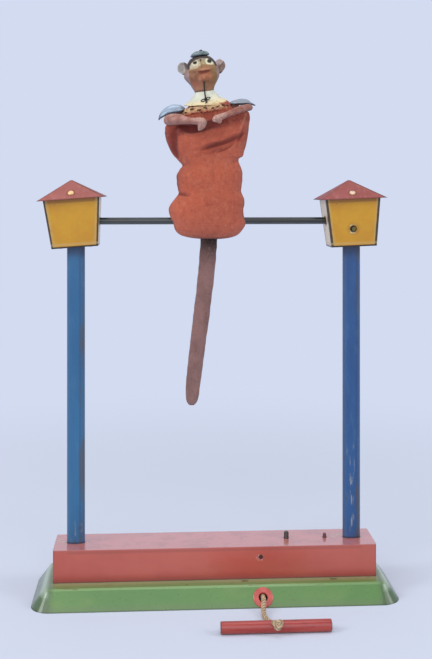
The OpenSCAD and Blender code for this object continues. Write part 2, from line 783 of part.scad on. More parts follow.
// Wooden body under the gown, with a bore for the bar and holes for its pin, the neck and the arms
module body_core() {
  color(wood)
  difference() {
    core_form(0);
    figure_place() {
      rod_x(-40, 40, bar_d + 2 * seat_gap);
      translate([0, 0, core_bottom - 1]) cylinder(h = 14, d = body_pin_d + 2 * seat_gap);
    }
    shoulder_place() {
      translate([head_x, 0, -12]) cylinder(h = 20, r = neck_r + seat_gap);
      for (s = [-1, 1])
        translate([0, 0, -1]) rod_x(s < 0 ? -shoulder_bar_w / 2 - 1 : shoulder_bar_w / 2 - 6,
          s < 0 ? -shoulder_bar_w / 2 + 6 : shoulder_bar_w / 2 + 1, 1.4);
    }
  }
}

// Pin through the wooden body and the bar
module body_pin() {
  color(steel)
  figure_place() translate([0, 0, core_bottom + 0.2]) cylinder(h = 11.6, d = body_pin_d);
}

// Gown: [height above the bar, left edge, right edge, half depth] of its outline
gown_outline = [
  [-11.4, -5, 7.5, 3], [-10.6, -12, 13.4, 7.5], [-9, -18, 17.6, 10.4], [-6, -21.4, 20.6, 12.2],
  [-2, -22.7, 22.8, 13], [2, -24.4, 22, 13], [6.5, -25.6, 21.5, 12.8], [10, -24.8, 22, 12.5],
  [13.4, -22.2, 22.1, 12], [17.3, -19.5, 20.4, 11.6], [20, -19.8, 20.1, 11.8], [24.5, -20.6, 20.7, 12.2],
  [29, -20.5, 20.9, 12.2], [32.5, -18.6, 20.4, 11.8], [35, -17.2, 19.7, 11.5], [38, -19.6, 19.3, 11.7],
  [41, -22.3, 21.4, 12.2], [46, -24.9, 23, 12.8], [52, -26.9, 24.4, 13], [58, -28, 25.2, 12.6],
  [62, -28, 25.6, 11.6], [64, -27, 25.2, 10], [65, -24, 23.5, 8.6], [65.9, -17, 13.6, 8.4],
  [71, -16.2, 12.6, 8.6], [73.6, -13, 11, 8]];
gown_sides = 36;
gown_shear_from = 40;
gown_shear_to = 62;

// How far the cloth is pressed in at a place on its front
function furrow(d, w, depth) = depth * exp(-d * d / (w * w));
function between(z, z0, z1, soft) = 1 / (1 + exp(-(z - z0) / soft)) / (1 + exp((z - z1) / soft));
function gown_dent(x, z) =
  furrow(x + 20.4, 1.6, 2.6) * between(z, 41, 57, 1.2)
  + furrow(z - 45 - (x + 2) * 0.3, 1.8, 1.5) * between(x, -1, 19, 2)
  + furrow(z - 57 + (x - 1) * (x - 1) * 0.004, 2, 1.6) * between(x, -20, 14, 2)
  + furrow(z - 17.5, 1.4, 1.6) * between(x, -24, -13, 1.5)
  + furrow(z - 36, 1.6, 0.9) * between(x, -24, -12, 2);
function gown_point(row, k) =
  let (a = 360 * k / gown_sides, mid = (row[1] + row[2]) / 2, hw = (row[2] - row[1]) / 2,
    x = mid + hw * cos(a), front = sin(a) < 0 ? 1 : 0,
    y = sin(a) * (row[3] - front * (row[0] > 65.5 ? 0 : gown_dent(x, row[0]))),
    t = min(max((row[0] - gown_shear_from) / (gown_shear_to - gown_shear_from), 0), 1))
  [x, y, row[0] + t * tan(shoulder_tilt) * (x - neck_x)];

// Orange cloth gown: closed round the body, open at the bar, the tail and the shoulders
module gown() {
  color(orange)
  difference() {
    figure_place()
      polyhedron(
        points = [for (row = gown_outline) each [for (k = [0 : gown_sides - 1]) gown_point(row, k)]],
        faces = skin_faces(len(gown_outline), gown_sides));
    core_form(core_gap);
    figure_place() rod_x(-40, 40, bar_d + 0.8);
    tail_form(0.4);
    shoulder_place() translate([head_x, 0, -2]) cylinder(h = 20, r = neck_r + 0.3);
  }
}

// Peg that carries the head and the collar
module neck_peg() {
  color(wood)
  shoulder_place() translate([head_x, 0, -8]) cylinder(h = 26, r = neck_r);
}

// Cream collar: a flared cone
module collar() {
  color(cream)
  shoulder_place() difference() {
    translate([0, 0, collar_z])
      rotate_extrude()
        polygon([[0, 0], [collar_r - 0.4, 0], [collar_r, 0.8], [collar_r * 0.8, 2.4], [collar_r * 0.56, 5],
          [collar_neck_r, collar_h - seat_gap], [0, collar_h - seat_gap]]);
    translate([head_x, 0, 0]) cylinder(h = 30, r = neck_r + seat_gap);
  }
}

// Form of the head: a turned barrel that narrows to the chin, with a muzzle
module head_form() {
  shoulder_place() translate([head_x, 0, head_z]) {
    rotate_extrude()
      polygon([[0, 0], [head_r * 0.58, 0], [head_r * 0.66, 2.2], [head_r * 0.82, 4.8], [head_r * 0.94, 7.4],
        [head_r, 10.6], [head_r * 0.98, 14], [head_r * 0.9, 17], [head_r * 0.76, 19.4],
        [head_r * 0.6, 21], [0, head_h]]);
    translate([0, -head_r * 0.36, 7.6]) sphere(head_r * 0.66);
  }
}
module head() {
  color(flesh)
  difference() {
    head_form();
    shoulder_place() translate([head_x, 0, 0]) cylinder(h = 18.2, r = neck_r + seat_gap);
  }
}

// One ear: a shallow dish beside the head
module ear(side) {
  color(side < 0 ? grey_blue : flesh)
  difference() {
    shoulder_place()
      translate([head_x + side * (head_r + 1.6), 0.5, head_z + 14.2 - side * 0.4]) rotate([90, 0, side * 12])
        difference() {
          cylinder(h = 2, d = 8.6, center = true);
          translate([side * 0.4, 0, 0.5]) cylinder(h = 2, d1 = 4, d2 = 6.4);
        }
    head_form();
  }
}
module left_ear() { ear(-1); }
module right_ear() { ear(1); }

// Cap: a soft round crown with a brim line and a button
module cap() {
  color(grey_blue)
  shoulder_place() translate([head_x + 0.2, 0, head_z + head_h + seat_gap])
    rotate_extrude()
      polygon([[0, 0], [6, 0], [6.3, 0.5], [5.9, 1.1], [5.2, 2], [3.4, 2.9], [1.1, 3.3], [1, 3.9], [0.6, 4.3],
        [0, 4.4]]);
}

// Arms: points from the shoulder over the elbow to the hand, in the frame of the shoulders;
// the first number is counted from the end of the shoulder bar
arm_path = [[0.3, 0, -1], [2.5, 0, -1], [5, -0.6, -0.9], [6.2, -2.6, -0.7], [6.4, -5.6, -0.6],
  [5.2, -9, -0.9], [2, -13, -2], [-3, -16, -3.6]];
function arm_route(s) = [for (q = arm_path) [s * (shoulder_end + q[0]), q[1], q[2]]];
left_hand = [[-11, -17.6, -5.4], [-6.8, -18, -6.6], [-3.9, -18, -7.4]];
right_hand = [[12, -17.4, -4.8], [6.4, -18, -6], [2.6, -18, -6.8]];
arm_radii = [2.4, 2.4, 2.4, 2.4, 2.4, 2.5, 2.5, 2.4, 2.2, 2.4, 1.6];
module arm(s, hand, thumb) {
  color(flesh)
  shoulder_place() {
    difference() {
      tube(concat(arm_route(s), hand), arm_radii, 10);
      translate([s * (shoulder_end + 1), 0, -1]) rod_x(-2, 2, 1.4);
    }
    tube([hand[1] + [0, 0, 0.4], hand[1] + thumb * 0.6, hand[1] + thumb], [1.4, 1.25, 0.8], 8);
  }
}
module left_arm() { arm(-1, left_hand, [-0.6, -0.4, -5.4]); }
module right_arm() { arm(1, right_hand, [0.8, -0.4, -4]); }

// Pins that fix the arms on the ends of the shoulder bar
module arm_rivets() {
  color(steel)
  shoulder_place()
    for (s = [-1, 1])
      translate([0, 0, -1])
        rod_x(s < 0 ? -shoulder_end - 2.8 : shoulder_end - 5.5, s < 0 ? 5.5 - shoulder_end : shoulder_end + 2.8,
          1.36);
}

// Shoulder plates: curved tin over each arm, lower at the front, on a short stub
module epaulette(s) {
  drop = plate_drop - s * 1.1;
  tip = 4.5 - s * 4.5;
  stub_x = 17.4;
  stub_foot = shoulder_bar_h / 2 - 1 + seat_gap;
  stub_top = drop + sqrt(pow(plate_r - 0.45, 2) - pow(plate_x - stub_x, 2)) - plate_d / 2 * sin(tip);
  color(grey_blue)
  shoulder_place() mirror([s < 0 ? 1 : 0, 0, 0]) {
    translate([plate_x, plate_d / 2, drop + plate_r]) rotate([tip, 0, 0])
      translate([0, -plate_d / 2, -plate_r]) rotate([90, 0, 0]) rotate([0, 0, 28])
        rotate_extrude(angle = 94) translate([plate_r - 0.9, -plate_d / 2]) square([0.9, plate_d]);
    translate([stub_x, 0, stub_foot]) cylinder(h = stub_top - stub_foot, d = 2.6);
  }
}
module left_epaulette() { epaulette(-1); }
module right_epaulette() { epaulette(1); }

// Black tie from the mouth to the collar, with a small bow
module chin_tie() {
  color([0.1, 0.09, 0.09])
  shoulder_place() translate([head_x, 0, 0]) {
    tube([[0, -10.75, 20.4], [0.05, -10.55, 17], [0.1, -10.35, 13.6], [0.1, -10.7, 10.5], [0.1, -11.3, 8.4]],
      [0.5, 0.5, 0.5, 0.5, 0.5], 6);
    translate([0.1, -11.5, 8.2]) sphere(1);
    for (s = [-1, 1]) translate([0.1 + s * 1.7, -11.6, 8.3]) rotate([0, s * 20, 0]) rod_x(-1.1, 1.1, 1.1);
  }
}

// Tail: a flattened felt tube that hangs from the body and leans to the left
tail_flat = 0.68;
tail_route = [[0, 0], [0, 0.05], [-1.2, 0.2], [-2.9, 0.35], [-4.9, 0.5], [-7, 0.65], [-9, 0.8],
  [-10.1, 0.9], [-10.6, 0.955], [-10.8, 0.985], [-10.8, 1]];
tail_widths = [1, 1, 0.98, 0.97, 0.96, 0.93, 0.88, 0.84, 0.76, 0.58, 0.3];
module tail_form(gap) {
  route = [for (q = tail_route) [q[0], 0, -q[1] * (tail_len + 5)]];
  figure_place() translate([-0.3, 0, core_bottom - seat_gap])
    tube(route, [for (w = tail_widths) w * tail_w / 2 + gap], 12, tail_flat);
}
module tail() {
  color(brown) tail_form(0);
}

// Drive shaft from the movement plate up through the right post
module drive_shaft() {
  color(steel)
  translate([shaft_x, 0, 0])
    rotate_extrude()
      polygon([[0, plate_z], [pivot_d / 2, plate_z], [pivot_d / 2, plate_top + 0.2],
        [arbor_d / 2, plate_top + 0.2], [arbor_d / 2, shaft_end - 0.2], [arbor_d / 2 - 0.2, shaft_end], [0, shaft_end]]);
}

// Pinion at the foot of the drive shaft, turned half a tooth to mesh with the idler
module shaft_pinion() {
  color(brass)
  translate([shaft_x, 0, drive_z - 0.4]) rotate([0, 0, 180 / foot_leaves])
    spur_wheel(foot_leaves, mesh_module, wheel_t + 0.8, arbor_d + 2 * seat_gap, false);
}

// Pinion at the top of the drive shaft, turned half a tooth to mesh with the crown wheel
module crown_pinion() {
  color(brass)
  translate([shaft_x, 0, crown_pinion_z]) rotate([0, 0, 180 / top_leaves])
    difference() {
      linear_extrude(crown_pinion_len) polygon(gear_outline(top_leaves, crown_module, 0.5));
      translate([0, 0, -1]) cylinder(h = crown_pinion_len + 2, d = arbor_d + 2 * seat_gap);
    }
}

// Idler arbor, with its dark red end above the box
module idler_arbor() {
  top = box_top + idler_stud;
  color(red)
  translate([idler_x, 0, 0])
    rotate_extrude()
      polygon([[0, plate_z], [idler_pivot_d / 2, plate_z], [idler_pivot_d / 2, plate_top + 0.2],
        [idler_d / 2, plate_top + 0.2], [idler_d / 2, box_top + 0.3], [idler_d / 2 - 0.3, top], [0, top]]);
}

// Idler gear and its hub
module idler_gear() {
  color(brass)
  translate([idler_x, 0, drive_z]) {
    spur_wheel(idler_teeth, mesh_module, wheel_t, idler_d + 2 * seat_gap, true);
    translate([0, 0, -1.6]) difference() {
      cylinder(h = 1.6, d = idler_d + 3.4);
      translate([0, 0, -1]) cylinder(h = 4, d = idler_d + 2 * seat_gap);
    }
  }
}

// Drive gear, free on the drum arbor, with the stud that carries the click
module drive_gear() {
  color(brass)
  translate([drum_x, 0, drive_z]) {
    spur_wheel(drive_teeth, mesh_module, wheel_t, arbor_d + 2 * fit_gap, true);
    translate([0, 0, -0.5]) difference() {
      cylinder(h = 0.5, d = arbor_d + 2.6);
      translate([0, 0, -1]) cylinder(h = 3, d = arbor_d + 2 * fit_gap);
    }
    rotate([0, 0, 90]) translate([click_pivot_r, 0, -1.9]) cylinder(h = 2, d = click_pin_d);
    rotate([0, 0, 90]) translate([click_pivot_r, 0, -2.2]) cylinder(h = 0.35, d = click_pin_d + 1);
  }
}

// Click: a small pawl that lies against the ratchet wheel
module click() {
  h = 1.1;
  tip_r = ratchet_r + 0.25;
  tip_a = 52;
  tip = tip_r * [cos(tip_a), sin(tip_a)];
  color(steel)
  translate([drum_x, 0, ratchet_z + 0.05]) difference() {
    linear_extrude(h) {
      translate([0, click_pivot_r]) circle(1.5);
      polygon([[0, click_pivot_r + 1.5], [-1, click_pivot_r - 1.1], tip + [-0.7, 0.8], tip,
        tip + [0.9, 0.7], [1.4, click_pivot_r + 0.5]]);
    }
    translate([0, click_pivot_r, -1]) cylinder(h = h + 2, d = click_pin_d + 2 * fit_gap);
  }
}

// Cord drum: a reel with two flanges
module cord_drum() {
  core_r = reel_inner - cord_d / 2 - 0.1;
  low = reel_z - channel / 2;
  high = reel_z + channel / 2;
  color(steel)
  translate([drum_x, 0, 0])
    rotate_extrude()
      polygon([[arbor_d / 2 + seat_gap, plate_top + 0.25], [arbor_d / 2 + 1.4, plate_top + 0.25],
        [arbor_d / 2 + 1.4, low - flange_t], [reel_flange_r, low - flange_t], [reel_flange_r, low],
        [core_r, low], [core_r, high], [reel_flange_r, high], [reel_flange_r, high + flange_t],
        [arbor_d / 2 + 1.4, high + flange_t], [arbor_d / 2 + 1.4, ratchet_z - seat_gap],
        [arbor_d / 2 + seat_gap, ratchet_z - seat_gap]]);
}

// Drum arbor, with its end above the box
module drum_arbor() {
  top = box_top + drum_stud;
  color(steel)
  translate([drum_x, 0, 0])
    rotate_extrude()
      polygon([[0, plate_z], [pivot_d / 2, plate_z], [pivot_d / 2, plate_top + 0.2],
        [arbor_d / 2, plate_top + 0.2], [arbor_d / 2, top - 0.5], [arbor_d / 2 - 0.5, top], [0, top]]);
}

// Ratchet wheel, fixed on the drum arbor
module ratchet_wheel() {
  deep = 1.1;
  color(steel)
  translate([drum_x, 0, ratchet_z]) difference() {
    linear_extrude(ratchet_t)
      polygon([for (k = [0 : ratchet_teeth - 1], e = [0, 1])
        let (a = 360 * k / ratchet_teeth + (e == 0 ? 0 : 1), r = e == 0 ? ratchet_r : ratchet_r - deep)
        [r * cos(a), r * sin(a)]]);
    translate([0, 0, -1]) cylinder(h = ratchet_t + 2, d = arbor_d + 2 * seat_gap);
  }
}

// Collar that keeps the drive gear down
module arbor_collar() {
  color(steel)
  translate([drum_x, 0, drive_z + wheel_t + 0.1]) difference() {
    cylinder(h = 1.8, d = arbor_d + 3.2);
    translate([0, 0, -1]) cylinder(h = 4, d = arbor_d + 2 * seat_gap);
    translate([0, 0, 0.9]) rotate([90, 0, 0]) cylinder(h = 6, d = 0.9);
  }
}

// Twine wound on the drum in one flat spiral; its outer end runs straight toward the eyelet
wind_steps = 24;
wind_count = reel_turns * wind_steps;
wind_run = 10.5;
wind_route = concat([for (i = [0 : wind_count])
  let (a = 180 - 360 * (wind_count - i) / wind_steps, r = reel_inner + wind_pitch * i / wind_steps)
  [drum_x + r * cos(a), r * sin(a), reel_z]],
  [for (y = [3.5, 7, wind_run]) [drum_x - reel_r, -y, reel_z]]);
module cord_winding() {
  color(twine) tube(wind_route, even(wind_route, cord_d / 2), 6);
}

// Least gap of the winding to itself, printed for reference
wind_gap = min([for (i = [0 : wind_steps], j = [i + wind_steps - 2 : min(i + wind_steps + 2, wind_count)])
  norm(wind_route[i] - wind_route[j])]) - cord_d;
echo(winding_gap = wind_gap);

// Straight stretch of the cord inside the base, from the drum to the eyelet
module cord_lead() {
  route = [[eyelet_x, -wind_run - 0.3, reel_z], [eyelet_x, -17, reel_z], [eyelet_x, -23, reel_z], cord_exit];
  color(twine) tube(route, even(route, cord_d / 2), 8);
}

// Free stretch of the cord, from the eyelet down to the floor and through the handle
module pull_cord() {
  color(twine) tube(cord_route, even(cord_route, cord_d / 2), 8);
}

// Knot on the front of the handle
module cord_knot() {
  at = cord_route[len(cord_route) - 1];
  color(twine)
  translate(at) rotate([90 - handle_hole_tilt, 0, 0]) translate([0, 0, seat_gap])
    rotate_extrude($fn = 24)
      polygon([[0, 0], [1.9, 0], [2.5, 0.7], [2.7, 1.8], [2.5, 2.9], [1.9, 3.7], [1, 4.1], [0, 4.1]]);
}

// Pull handle: a turned stick with a slanting hole
module pull_handle() {
  chamfer = 0.4;
  color(red)
  difference() {
    translate(handle_at) rotate([0, 90, 0])
      rotate_extrude()
        polygon([[0, -handle_len / 2], [handle_d / 2 - chamfer, -handle_len / 2],
          [handle_d / 2, -handle_len / 2 + chamfer], [handle_d / 2, handle_len / 2 - chamfer],
          [handle_d / 2 - chamfer, handle_len / 2], [0, handle_len / 2]]);
    translate([handle_hole_x, handle_at[1], handle_at[2]]) rotate([90 - handle_hole_tilt, 0, 0])
      cylinder(h = 2 * handle_d, d = cord_d + 0.8, center = true);
  }
}

plinth();
housing();
cord_eyelet();
spring_anchor();
movement_plate();
plate_pillars();
top_bushes();
left_post();
right_post();
post_sockets();
left_bracket();
right_bracket();
left_bar_bushes();
right_bar_bushes();
left_lantern_body();
left_lantern_roof();
right_lantern_body();
right_lantern_roof();
roof_rivets();
lantern_rivets();
lantern_pin();
shaft_bushes();
mainspring();
crossbar();
bar_collar();
crown_wheel();
body_core();
body_pin();
gown();
neck_peg();
collar();
head();
left_ear();
right_ear();
cap();
left_arm();
right_arm();
left_epaulette();
right_epaulette();
arm_rivets();
chin_tie();
tail();
drive_shaft();
shaft_pinion();
crown_pinion();
idler_arbor();
idler_gear();
drive_gear();
click();
cord_drum();
drum_arbor();
ratchet_wheel();
arbor_collar();
cord_winding();
cord_lead();
pull_cord();
cord_knot();
pull_handle();
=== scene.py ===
"""Looks of the clockwork tin acrobat: a cloth-dressed monkey on a steel bar between two lantern posts.

Lengths are in millimetres, as in the part's source; MM turns them into metres. Colours are sRGB, from 0 to 255.
"""

import random
from math import copysign, cos, exp, pi, radians, sin, sqrt, tan

import bpy
from mathutils import Matrix, Vector, noise


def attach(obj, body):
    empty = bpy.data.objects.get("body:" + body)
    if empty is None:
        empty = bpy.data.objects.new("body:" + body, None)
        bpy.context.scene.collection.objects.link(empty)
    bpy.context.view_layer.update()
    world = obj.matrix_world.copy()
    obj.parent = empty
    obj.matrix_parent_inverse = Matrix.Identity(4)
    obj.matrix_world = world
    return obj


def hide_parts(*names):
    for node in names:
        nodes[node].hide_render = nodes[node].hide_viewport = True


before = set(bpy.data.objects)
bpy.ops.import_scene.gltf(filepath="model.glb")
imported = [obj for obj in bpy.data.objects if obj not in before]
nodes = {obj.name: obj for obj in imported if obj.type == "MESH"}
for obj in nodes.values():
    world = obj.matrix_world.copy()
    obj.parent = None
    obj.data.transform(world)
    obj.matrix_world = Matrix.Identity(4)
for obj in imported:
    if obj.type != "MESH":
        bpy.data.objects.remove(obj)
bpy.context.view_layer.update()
scene = bpy.context.scene
MM = 0.001

# Camera, fitted to the photograph
PHOTO_H = 659
FOCAL_PX = 1010
HORIZON_ROW = 187.06
EYE = Vector((-37.15, -636.4, 253.3))
LOOK = Vector((0.0595, 0.998, 0))
FILM = 36

# Heights of the base's ledge and of the box's top; half length and half depth of the box
BASE_TOP, BOX_TOP = 11, 31
BOX_X, BOX_Y = 100, 14.5

# Frames of the figure, of its tilted shoulders and of its head
BAR_H = 232
TILT = 8.8
NECK_X, NECK_Z = -1.3, 69
FIGURE = Matrix.Translation((-3.4, 0, BAR_H))
SHOULDER = FIGURE @ Matrix.Translation((NECK_X, 0, NECK_Z)) @ Matrix.Rotation(radians(-TILT), 4, "Y")
HEAD = SHOULDER @ Matrix.Translation((1.2, 0, 13.4))

# Lanterns: place along the bar, and lean towards the left in degrees
POST_X = 87
LANTERN_FLOOR = BAR_H - 16
LANTERNS = {"left": (-POST_X, 4.0), "right": (POST_X, 2.2)}
# Half width and half depth of a lantern's body at its floor, and how much they grow for each millimetre up
BODY_X, BODY_Y, GROW_X, GROW_Y = 14.3, 9.8, 0.1, 0.0733
# Roof: height of its apex above the lantern's floor, its own height, half width and half depth at the eaves
ROOF_APEX, ROOF_H, ROOF_X, ROOF_Y = 41.7, 11.7, 20.4, 14.9

# How much of the room's light a glossy coat adds to its pigment, and that light's tint
GLOSS = 0.045
GLOSS_TINT = (0.85, 0.9, 1.05)

# Thickness of the cloth and of the shoulder plates
SHEET = 0.5


def lin(r, g, b):
    """Linear colour of an sRGB colour."""
    return tuple(((c / 255 + 0.055) / 1.055) ** 2.4 for c in (r, g, b)) + (1.0,)


def under(r, g, b, gloss):
    """Pigment that looks like that sRGB colour once its gloss adds a pale share of the room."""
    return tuple(max(c - gloss * tint, 0.004) for c, tint in zip(lin(r, g, b), GLOSS_TINT)) + (1.0,)


def link(name, data):
    """A new object in the scene."""
    thing = bpy.data.objects.new(name, data)
    scene.collection.objects.link(thing)
    return thing


def put(tree, socket, value):
    """Links an output to the socket, or sets the socket to a plain value."""
    value = getattr(value, "socket", value)
    if isinstance(value, bpy.types.NodeSocket):
        tree.links.new(value, socket)
    else:
        socket.default_value = value


def add(tree, kind, inputs=(), **settings):
    """A new node; inputs has its inputs by number or name."""
    node = tree.nodes.new("ShaderNode" + kind)
    for name, value in settings.items():
        setattr(node, name, value)
    for key, value in dict(inputs).items():
        put(tree, node.inputs[key], value)
    return node


# ---------------------------------------------------------------- camera, light and floor

BACKGROUND = lin(211, 219, 241)
FLOOR = lin(214, 222, 242)
WORLD_LEVEL = 0.37
# Lamps: name, place, aim, width, height and power, in metres and watts
LAMPS = [
    ("left", (-1.35, -0.55, 1.0), (0, 0, 0.14), 0.55, 0.8, 8),
    ("right", (1.35, -0.5, 1.0), (0, 0, 0.14), 0.55, 0.8, 6),
    ("front", (-0.35, -1.75, 1.15), (0, 0, 0.17), 2.3, 1.7, 20),
    ("top", (0.1, 0.25, 1.7), (0, 0, 0.1), 1.2, 1.0, 6),
]


def make_camera():
    data = bpy.data.cameras.new("camera")
    data.sensor_fit = "VERTICAL"
    data.sensor_height = FILM
    data.lens = FILM * FOCAL_PX / PHOTO_H
    data.shift_y = (HORIZON_ROW - PHOTO_H / 2) / PHOTO_H
    data.clip_start = 0.01
    camera = scene.camera = link("camera", data)
    camera.location = EYE * MM
    camera.rotation_euler = LOOK.to_track_quat("-Z", "Y").to_euler()


def make_lamps():
    for name, place, aim, width, height, power in LAMPS:
        data = bpy.data.lights.new(name, "AREA")
        data.shape = "RECTANGLE"
        data.size, data.size_y, data.energy = width, height, power
        lamp = link(name, data)
        lamp.location = place
        lamp.rotation_euler = (Vector(aim) - Vector(place)).to_track_quat("-Z", "Y").to_euler()


def seen_rays(tree):
    """1 for rays that show the background itself: camera, mirror and glass rays."""
    path = add(tree, "LightPath")
    share = path.outputs["Is Camera Ray"]
    for name in ("Is Glossy Ray", "Is Transmission Ray"):
        share = add(tree, "Math", {0: share, 1: path.outputs[name]}, operation="MAXIMUM").outputs[0]
    return share


def empty_tree(owner):
    owner.use_nodes = True
    owner.node_tree.nodes.clear()
    return owner.node_tree


def make_world():
    scene.world = bpy.data.worlds.new("studio")
    tree = empty_tree(scene.world)
    light = add(tree, "Background", {0: (1, 1, 1, 1), 1: WORLD_LEVEL})
    seen = add(tree, "Background", {0: BACKGROUND})
    mix = add(tree, "MixShader", {0: seen_rays(tree), 1: light.outputs[0], 2: seen.outputs[0]})
    add(tree, "OutputWorld", {0: mix.outputs[0]})


def make_floor():
    """A pale floor: it takes shadows near the object and fades into the background further off."""
    mesh = bpy.data.meshes.new("floor")
    far = 6.0
    mesh.from_pydata([(-far, -far, 0), (far, -far, 0), (far, far, 0), (-far, far, 0)], [], [(0, 1, 2, 3)])
    material = bpy.data.materials.new("floor")
    tree = empty_tree(material)
    place = add(tree, "TexCoord").outputs["Object"]
    away = add(tree, "VectorMath", {0: place}, operation="LENGTH").outputs["Value"]
    reach = {"Value": away, "From Min": 0.16, "From Max": 0.62}
    fade = add(tree, "MapRange", reach, interpolation_type="SMOOTHSTEP").outputs[0]
    both = add(tree, "Math", {0: fade, 1: seen_rays(tree)}, operation="MULTIPLY").outputs[0]
    matt = add(tree, "BsdfDiffuse", {0: FLOOR}).outputs[0]
    glow = add(tree, "Emission", {0: BACKGROUND}).outputs[0]
    mix = add(tree, "MixShader", {0: both, 1: matt, 2: glow})
    add(tree, "OutputMaterial", {0: mix.outputs[0]})
    mesh.materials.append(material)
    link("floor", mesh)


# ---------------------------------------------------------------- materials


class Value:
    """A number that differs from place to place in a material. Arithmetic on it adds nodes."""

    def __init__(self, tree, socket):
        self.tree, self.socket = tree, socket

    def math(self, operation, a, b=0.0):
        return Value(self.tree, add(self.tree, "Math", {0: a, 1: b}, operation=operation).outputs[0])

    def __add__(self, other):
        return self.math("ADD", self, other)

    def __sub__(self, other):
        return self.math("SUBTRACT", self, other)

    def __rsub__(self, other):
        return self.math("SUBTRACT", other, self)

    def __mul__(self, other):
        return self.math("MULTIPLY", self, other)

    def __truediv__(self, number):
        return self.math("MULTIPLY", self, 1 / number)

    def __pow__(self, number):
        return self.math("POWER", self, number)

    def __abs__(self):
        return self.math("ABSOLUTE", self)

    def most(self, other):
        return self.math("MAXIMUM", self, other)

    def least(self, other):
        return self.math("MINIMUM", self, other)

    __radd__, __rmul__ = __add__, __mul__


class Graph:
    """A material put together from nodes. Its coordinates are the row frame's at rest, in millimetres."""

    def __init__(self, name, frame_of=None, gloss=0.0, **sockets):
        self.material = bpy.data.materials.new(name)
        self.material.use_nodes = True
        self.tree = self.material.node_tree
        self.shader = self.tree.nodes["Principled BSDF"]
        self.gloss = gloss
        for socket, value in sockets.items():
            self.shader.inputs[socket.replace("_", " ")].default_value = value
        place = self.add("TexCoord").outputs["Object"]
        self.place = self.vector("SCALE", {0: place, "Scale": 1 / MM})
        if frame_of is not None:
            inverse = frame_of.inverted()
            turn = {"Vector": self.place, "Location": inverse.to_translation(), "Rotation": inverse.to_euler()}
            self.place = self.add("Mapping", turn).outputs[0]
        self.x, self.y, self.z = self.split(self.place)

    def add(self, kind, inputs=(), **settings):
        return add(self.tree, kind, inputs, **settings)

    def value(self, socket):
        return Value(self.tree, socket)

    def split(self, vector):
        return [self.value(socket) for socket in self.add("SeparateXYZ", {0: vector}).outputs]

    def vector(self, operation, inputs):
        return self.add("VectorMath", inputs, operation=operation).outputs["Vector"]

    def away(self, **offsets):
        """How far a point is from the place where the offsets, by axis, are 0."""
        join = self.add("CombineXYZ", {axis.upper(): offset for axis, offset in offsets.items()})
        return self.value(self.add("VectorMath", {0: join.outputs[0]}, operation="LENGTH").outputs["Value"])

    def normal(self):
        return self.add("NewGeometry").outputs["Normal"]

    def noise(self, size, detail=4, rough=0.55, stretch=(1, 1, 1), shift=0.0):
        """Fractal noise, from 0 to 1, whose blotches are about size millimetres across."""
        at = self.vector("MULTIPLY", {0: self.place, 1: tuple(s / size for s in stretch)})
        if shift:
            at = self.vector("ADD", {0: at, 1: (shift, shift, shift)})
        inputs = {"Scale": 1.0, "Detail": detail, "Roughness": rough, "Vector": at}
        return self.value(self.add("TexNoise", inputs).outputs["Fac"])

    def cloud(self, low, high, *size, **how):
        """Blotches: 1 where the noise is above high, 0 where it is below low."""
        return self.span(self.noise(*size, **how), low, high)

    def shake(self, reach, *size, **how):
        """Noise that swings about 0."""
        return (self.noise(*size, **how) - 0.5) * reach

    def spots(self, spacing, low, high):
        """Scattered round spots: 1 at their middles."""
        at = self.vector("MULTIPLY", {0: self.place, 1: (1 / spacing,) * 3})
        node = self.add("TexVoronoi", {"Scale": 1.0, "Vector": at})
        return self.span(self.value(node.outputs["Distance"]), high, low)

    def span(self, value, low, high):
        """0 at low and 1 at high, smooth between them."""
        (low, start), (high, end) = sorted(((low, 0.0), (high, 1.0)))
        inputs = {"Value": value, "From Min": low, "From Max": high, "To Min": start, "To Max": end}
        return self.value(self.add("MapRange", inputs, interpolation_type="SMOOTHSTEP").outputs[0])

    def near(self, value, middle, reach):
        """1 where value is at middle, 0 from reach away."""
        return self.span(abs(value - middle), reach, reach * 0.3)

    def blob(self, a, b, a0, b0, wide, high, soft=0.35):
        """1 inside an ellipse in the plane of a and b."""
        da, db = (a - a0) / wide, (b - b0) / high
        return self.span(da * da + db * db, 1 + soft, 1 - soft)

    def mix(self, share, a, b):
        return self.add("Mix", {0: share, 6: a, 7: b}, data_type="RGBA").outputs[2]

    def pigment(self, r, g, b, gloss=None):
        return under(r, g, b, self.gloss if gloss is None else gloss)

    def start(self, value, a, b, low=0.35, high=0.65, share=1.0):
        """A ground that goes from colour a to colour b, or a share of the way to it."""
        self.colour = self.mix(self.span(value, low, high) * share, self.pigment(*a), self.pigment(*b))

    def lay(self, share, *colour):
        """Lays a colour over what is there."""
        self.colour = self.mix(share, self.colour, self.pigment(*colour))

    def level(self, share, a, b):
        """A number that goes from a to b."""
        return share * (b - a) + a

    def hollow(self):
        """How deep the point lies in a fold or between plies, as stored with the mesh."""
        return self.value(self.add("Attribute", attribute_name="hollow").outputs["Fac"])

    def edge(self, radius, low=0.02, high=0.25):
        """1 along the edges of the piece, to about radius from them."""
        bevel = self.add("Bevel", {"Radius": radius * MM}, samples=4).outputs[0]
        turned = self.add("VectorMath", {0: bevel, 1: self.normal()}, operation="DOT_PRODUCT")
        return self.span(1.0 - self.value(turned.outputs["Value"]), low, high)

    def inside(self):
        """1 on faces that look towards the upright axis: the inner side of a folded box."""
        x, y, z = self.split(self.normal())
        return self.span(x * self.x + y * self.y, -1.0, -3.0).most(self.span(z, -0.25, -0.5))

    def finish(self, rough, height, depth):
        """Links colour, roughness and relief; depth is the relief's height in millimetres."""
        bump = self.add("Bump", {"Distance": depth * MM, "Height": height})
        for name, value in (("Base Color", self.colour), ("Roughness", rough), ("Normal", bump.outputs[0])):
            put(self.tree, self.shader.inputs[name], value)
        return self.material


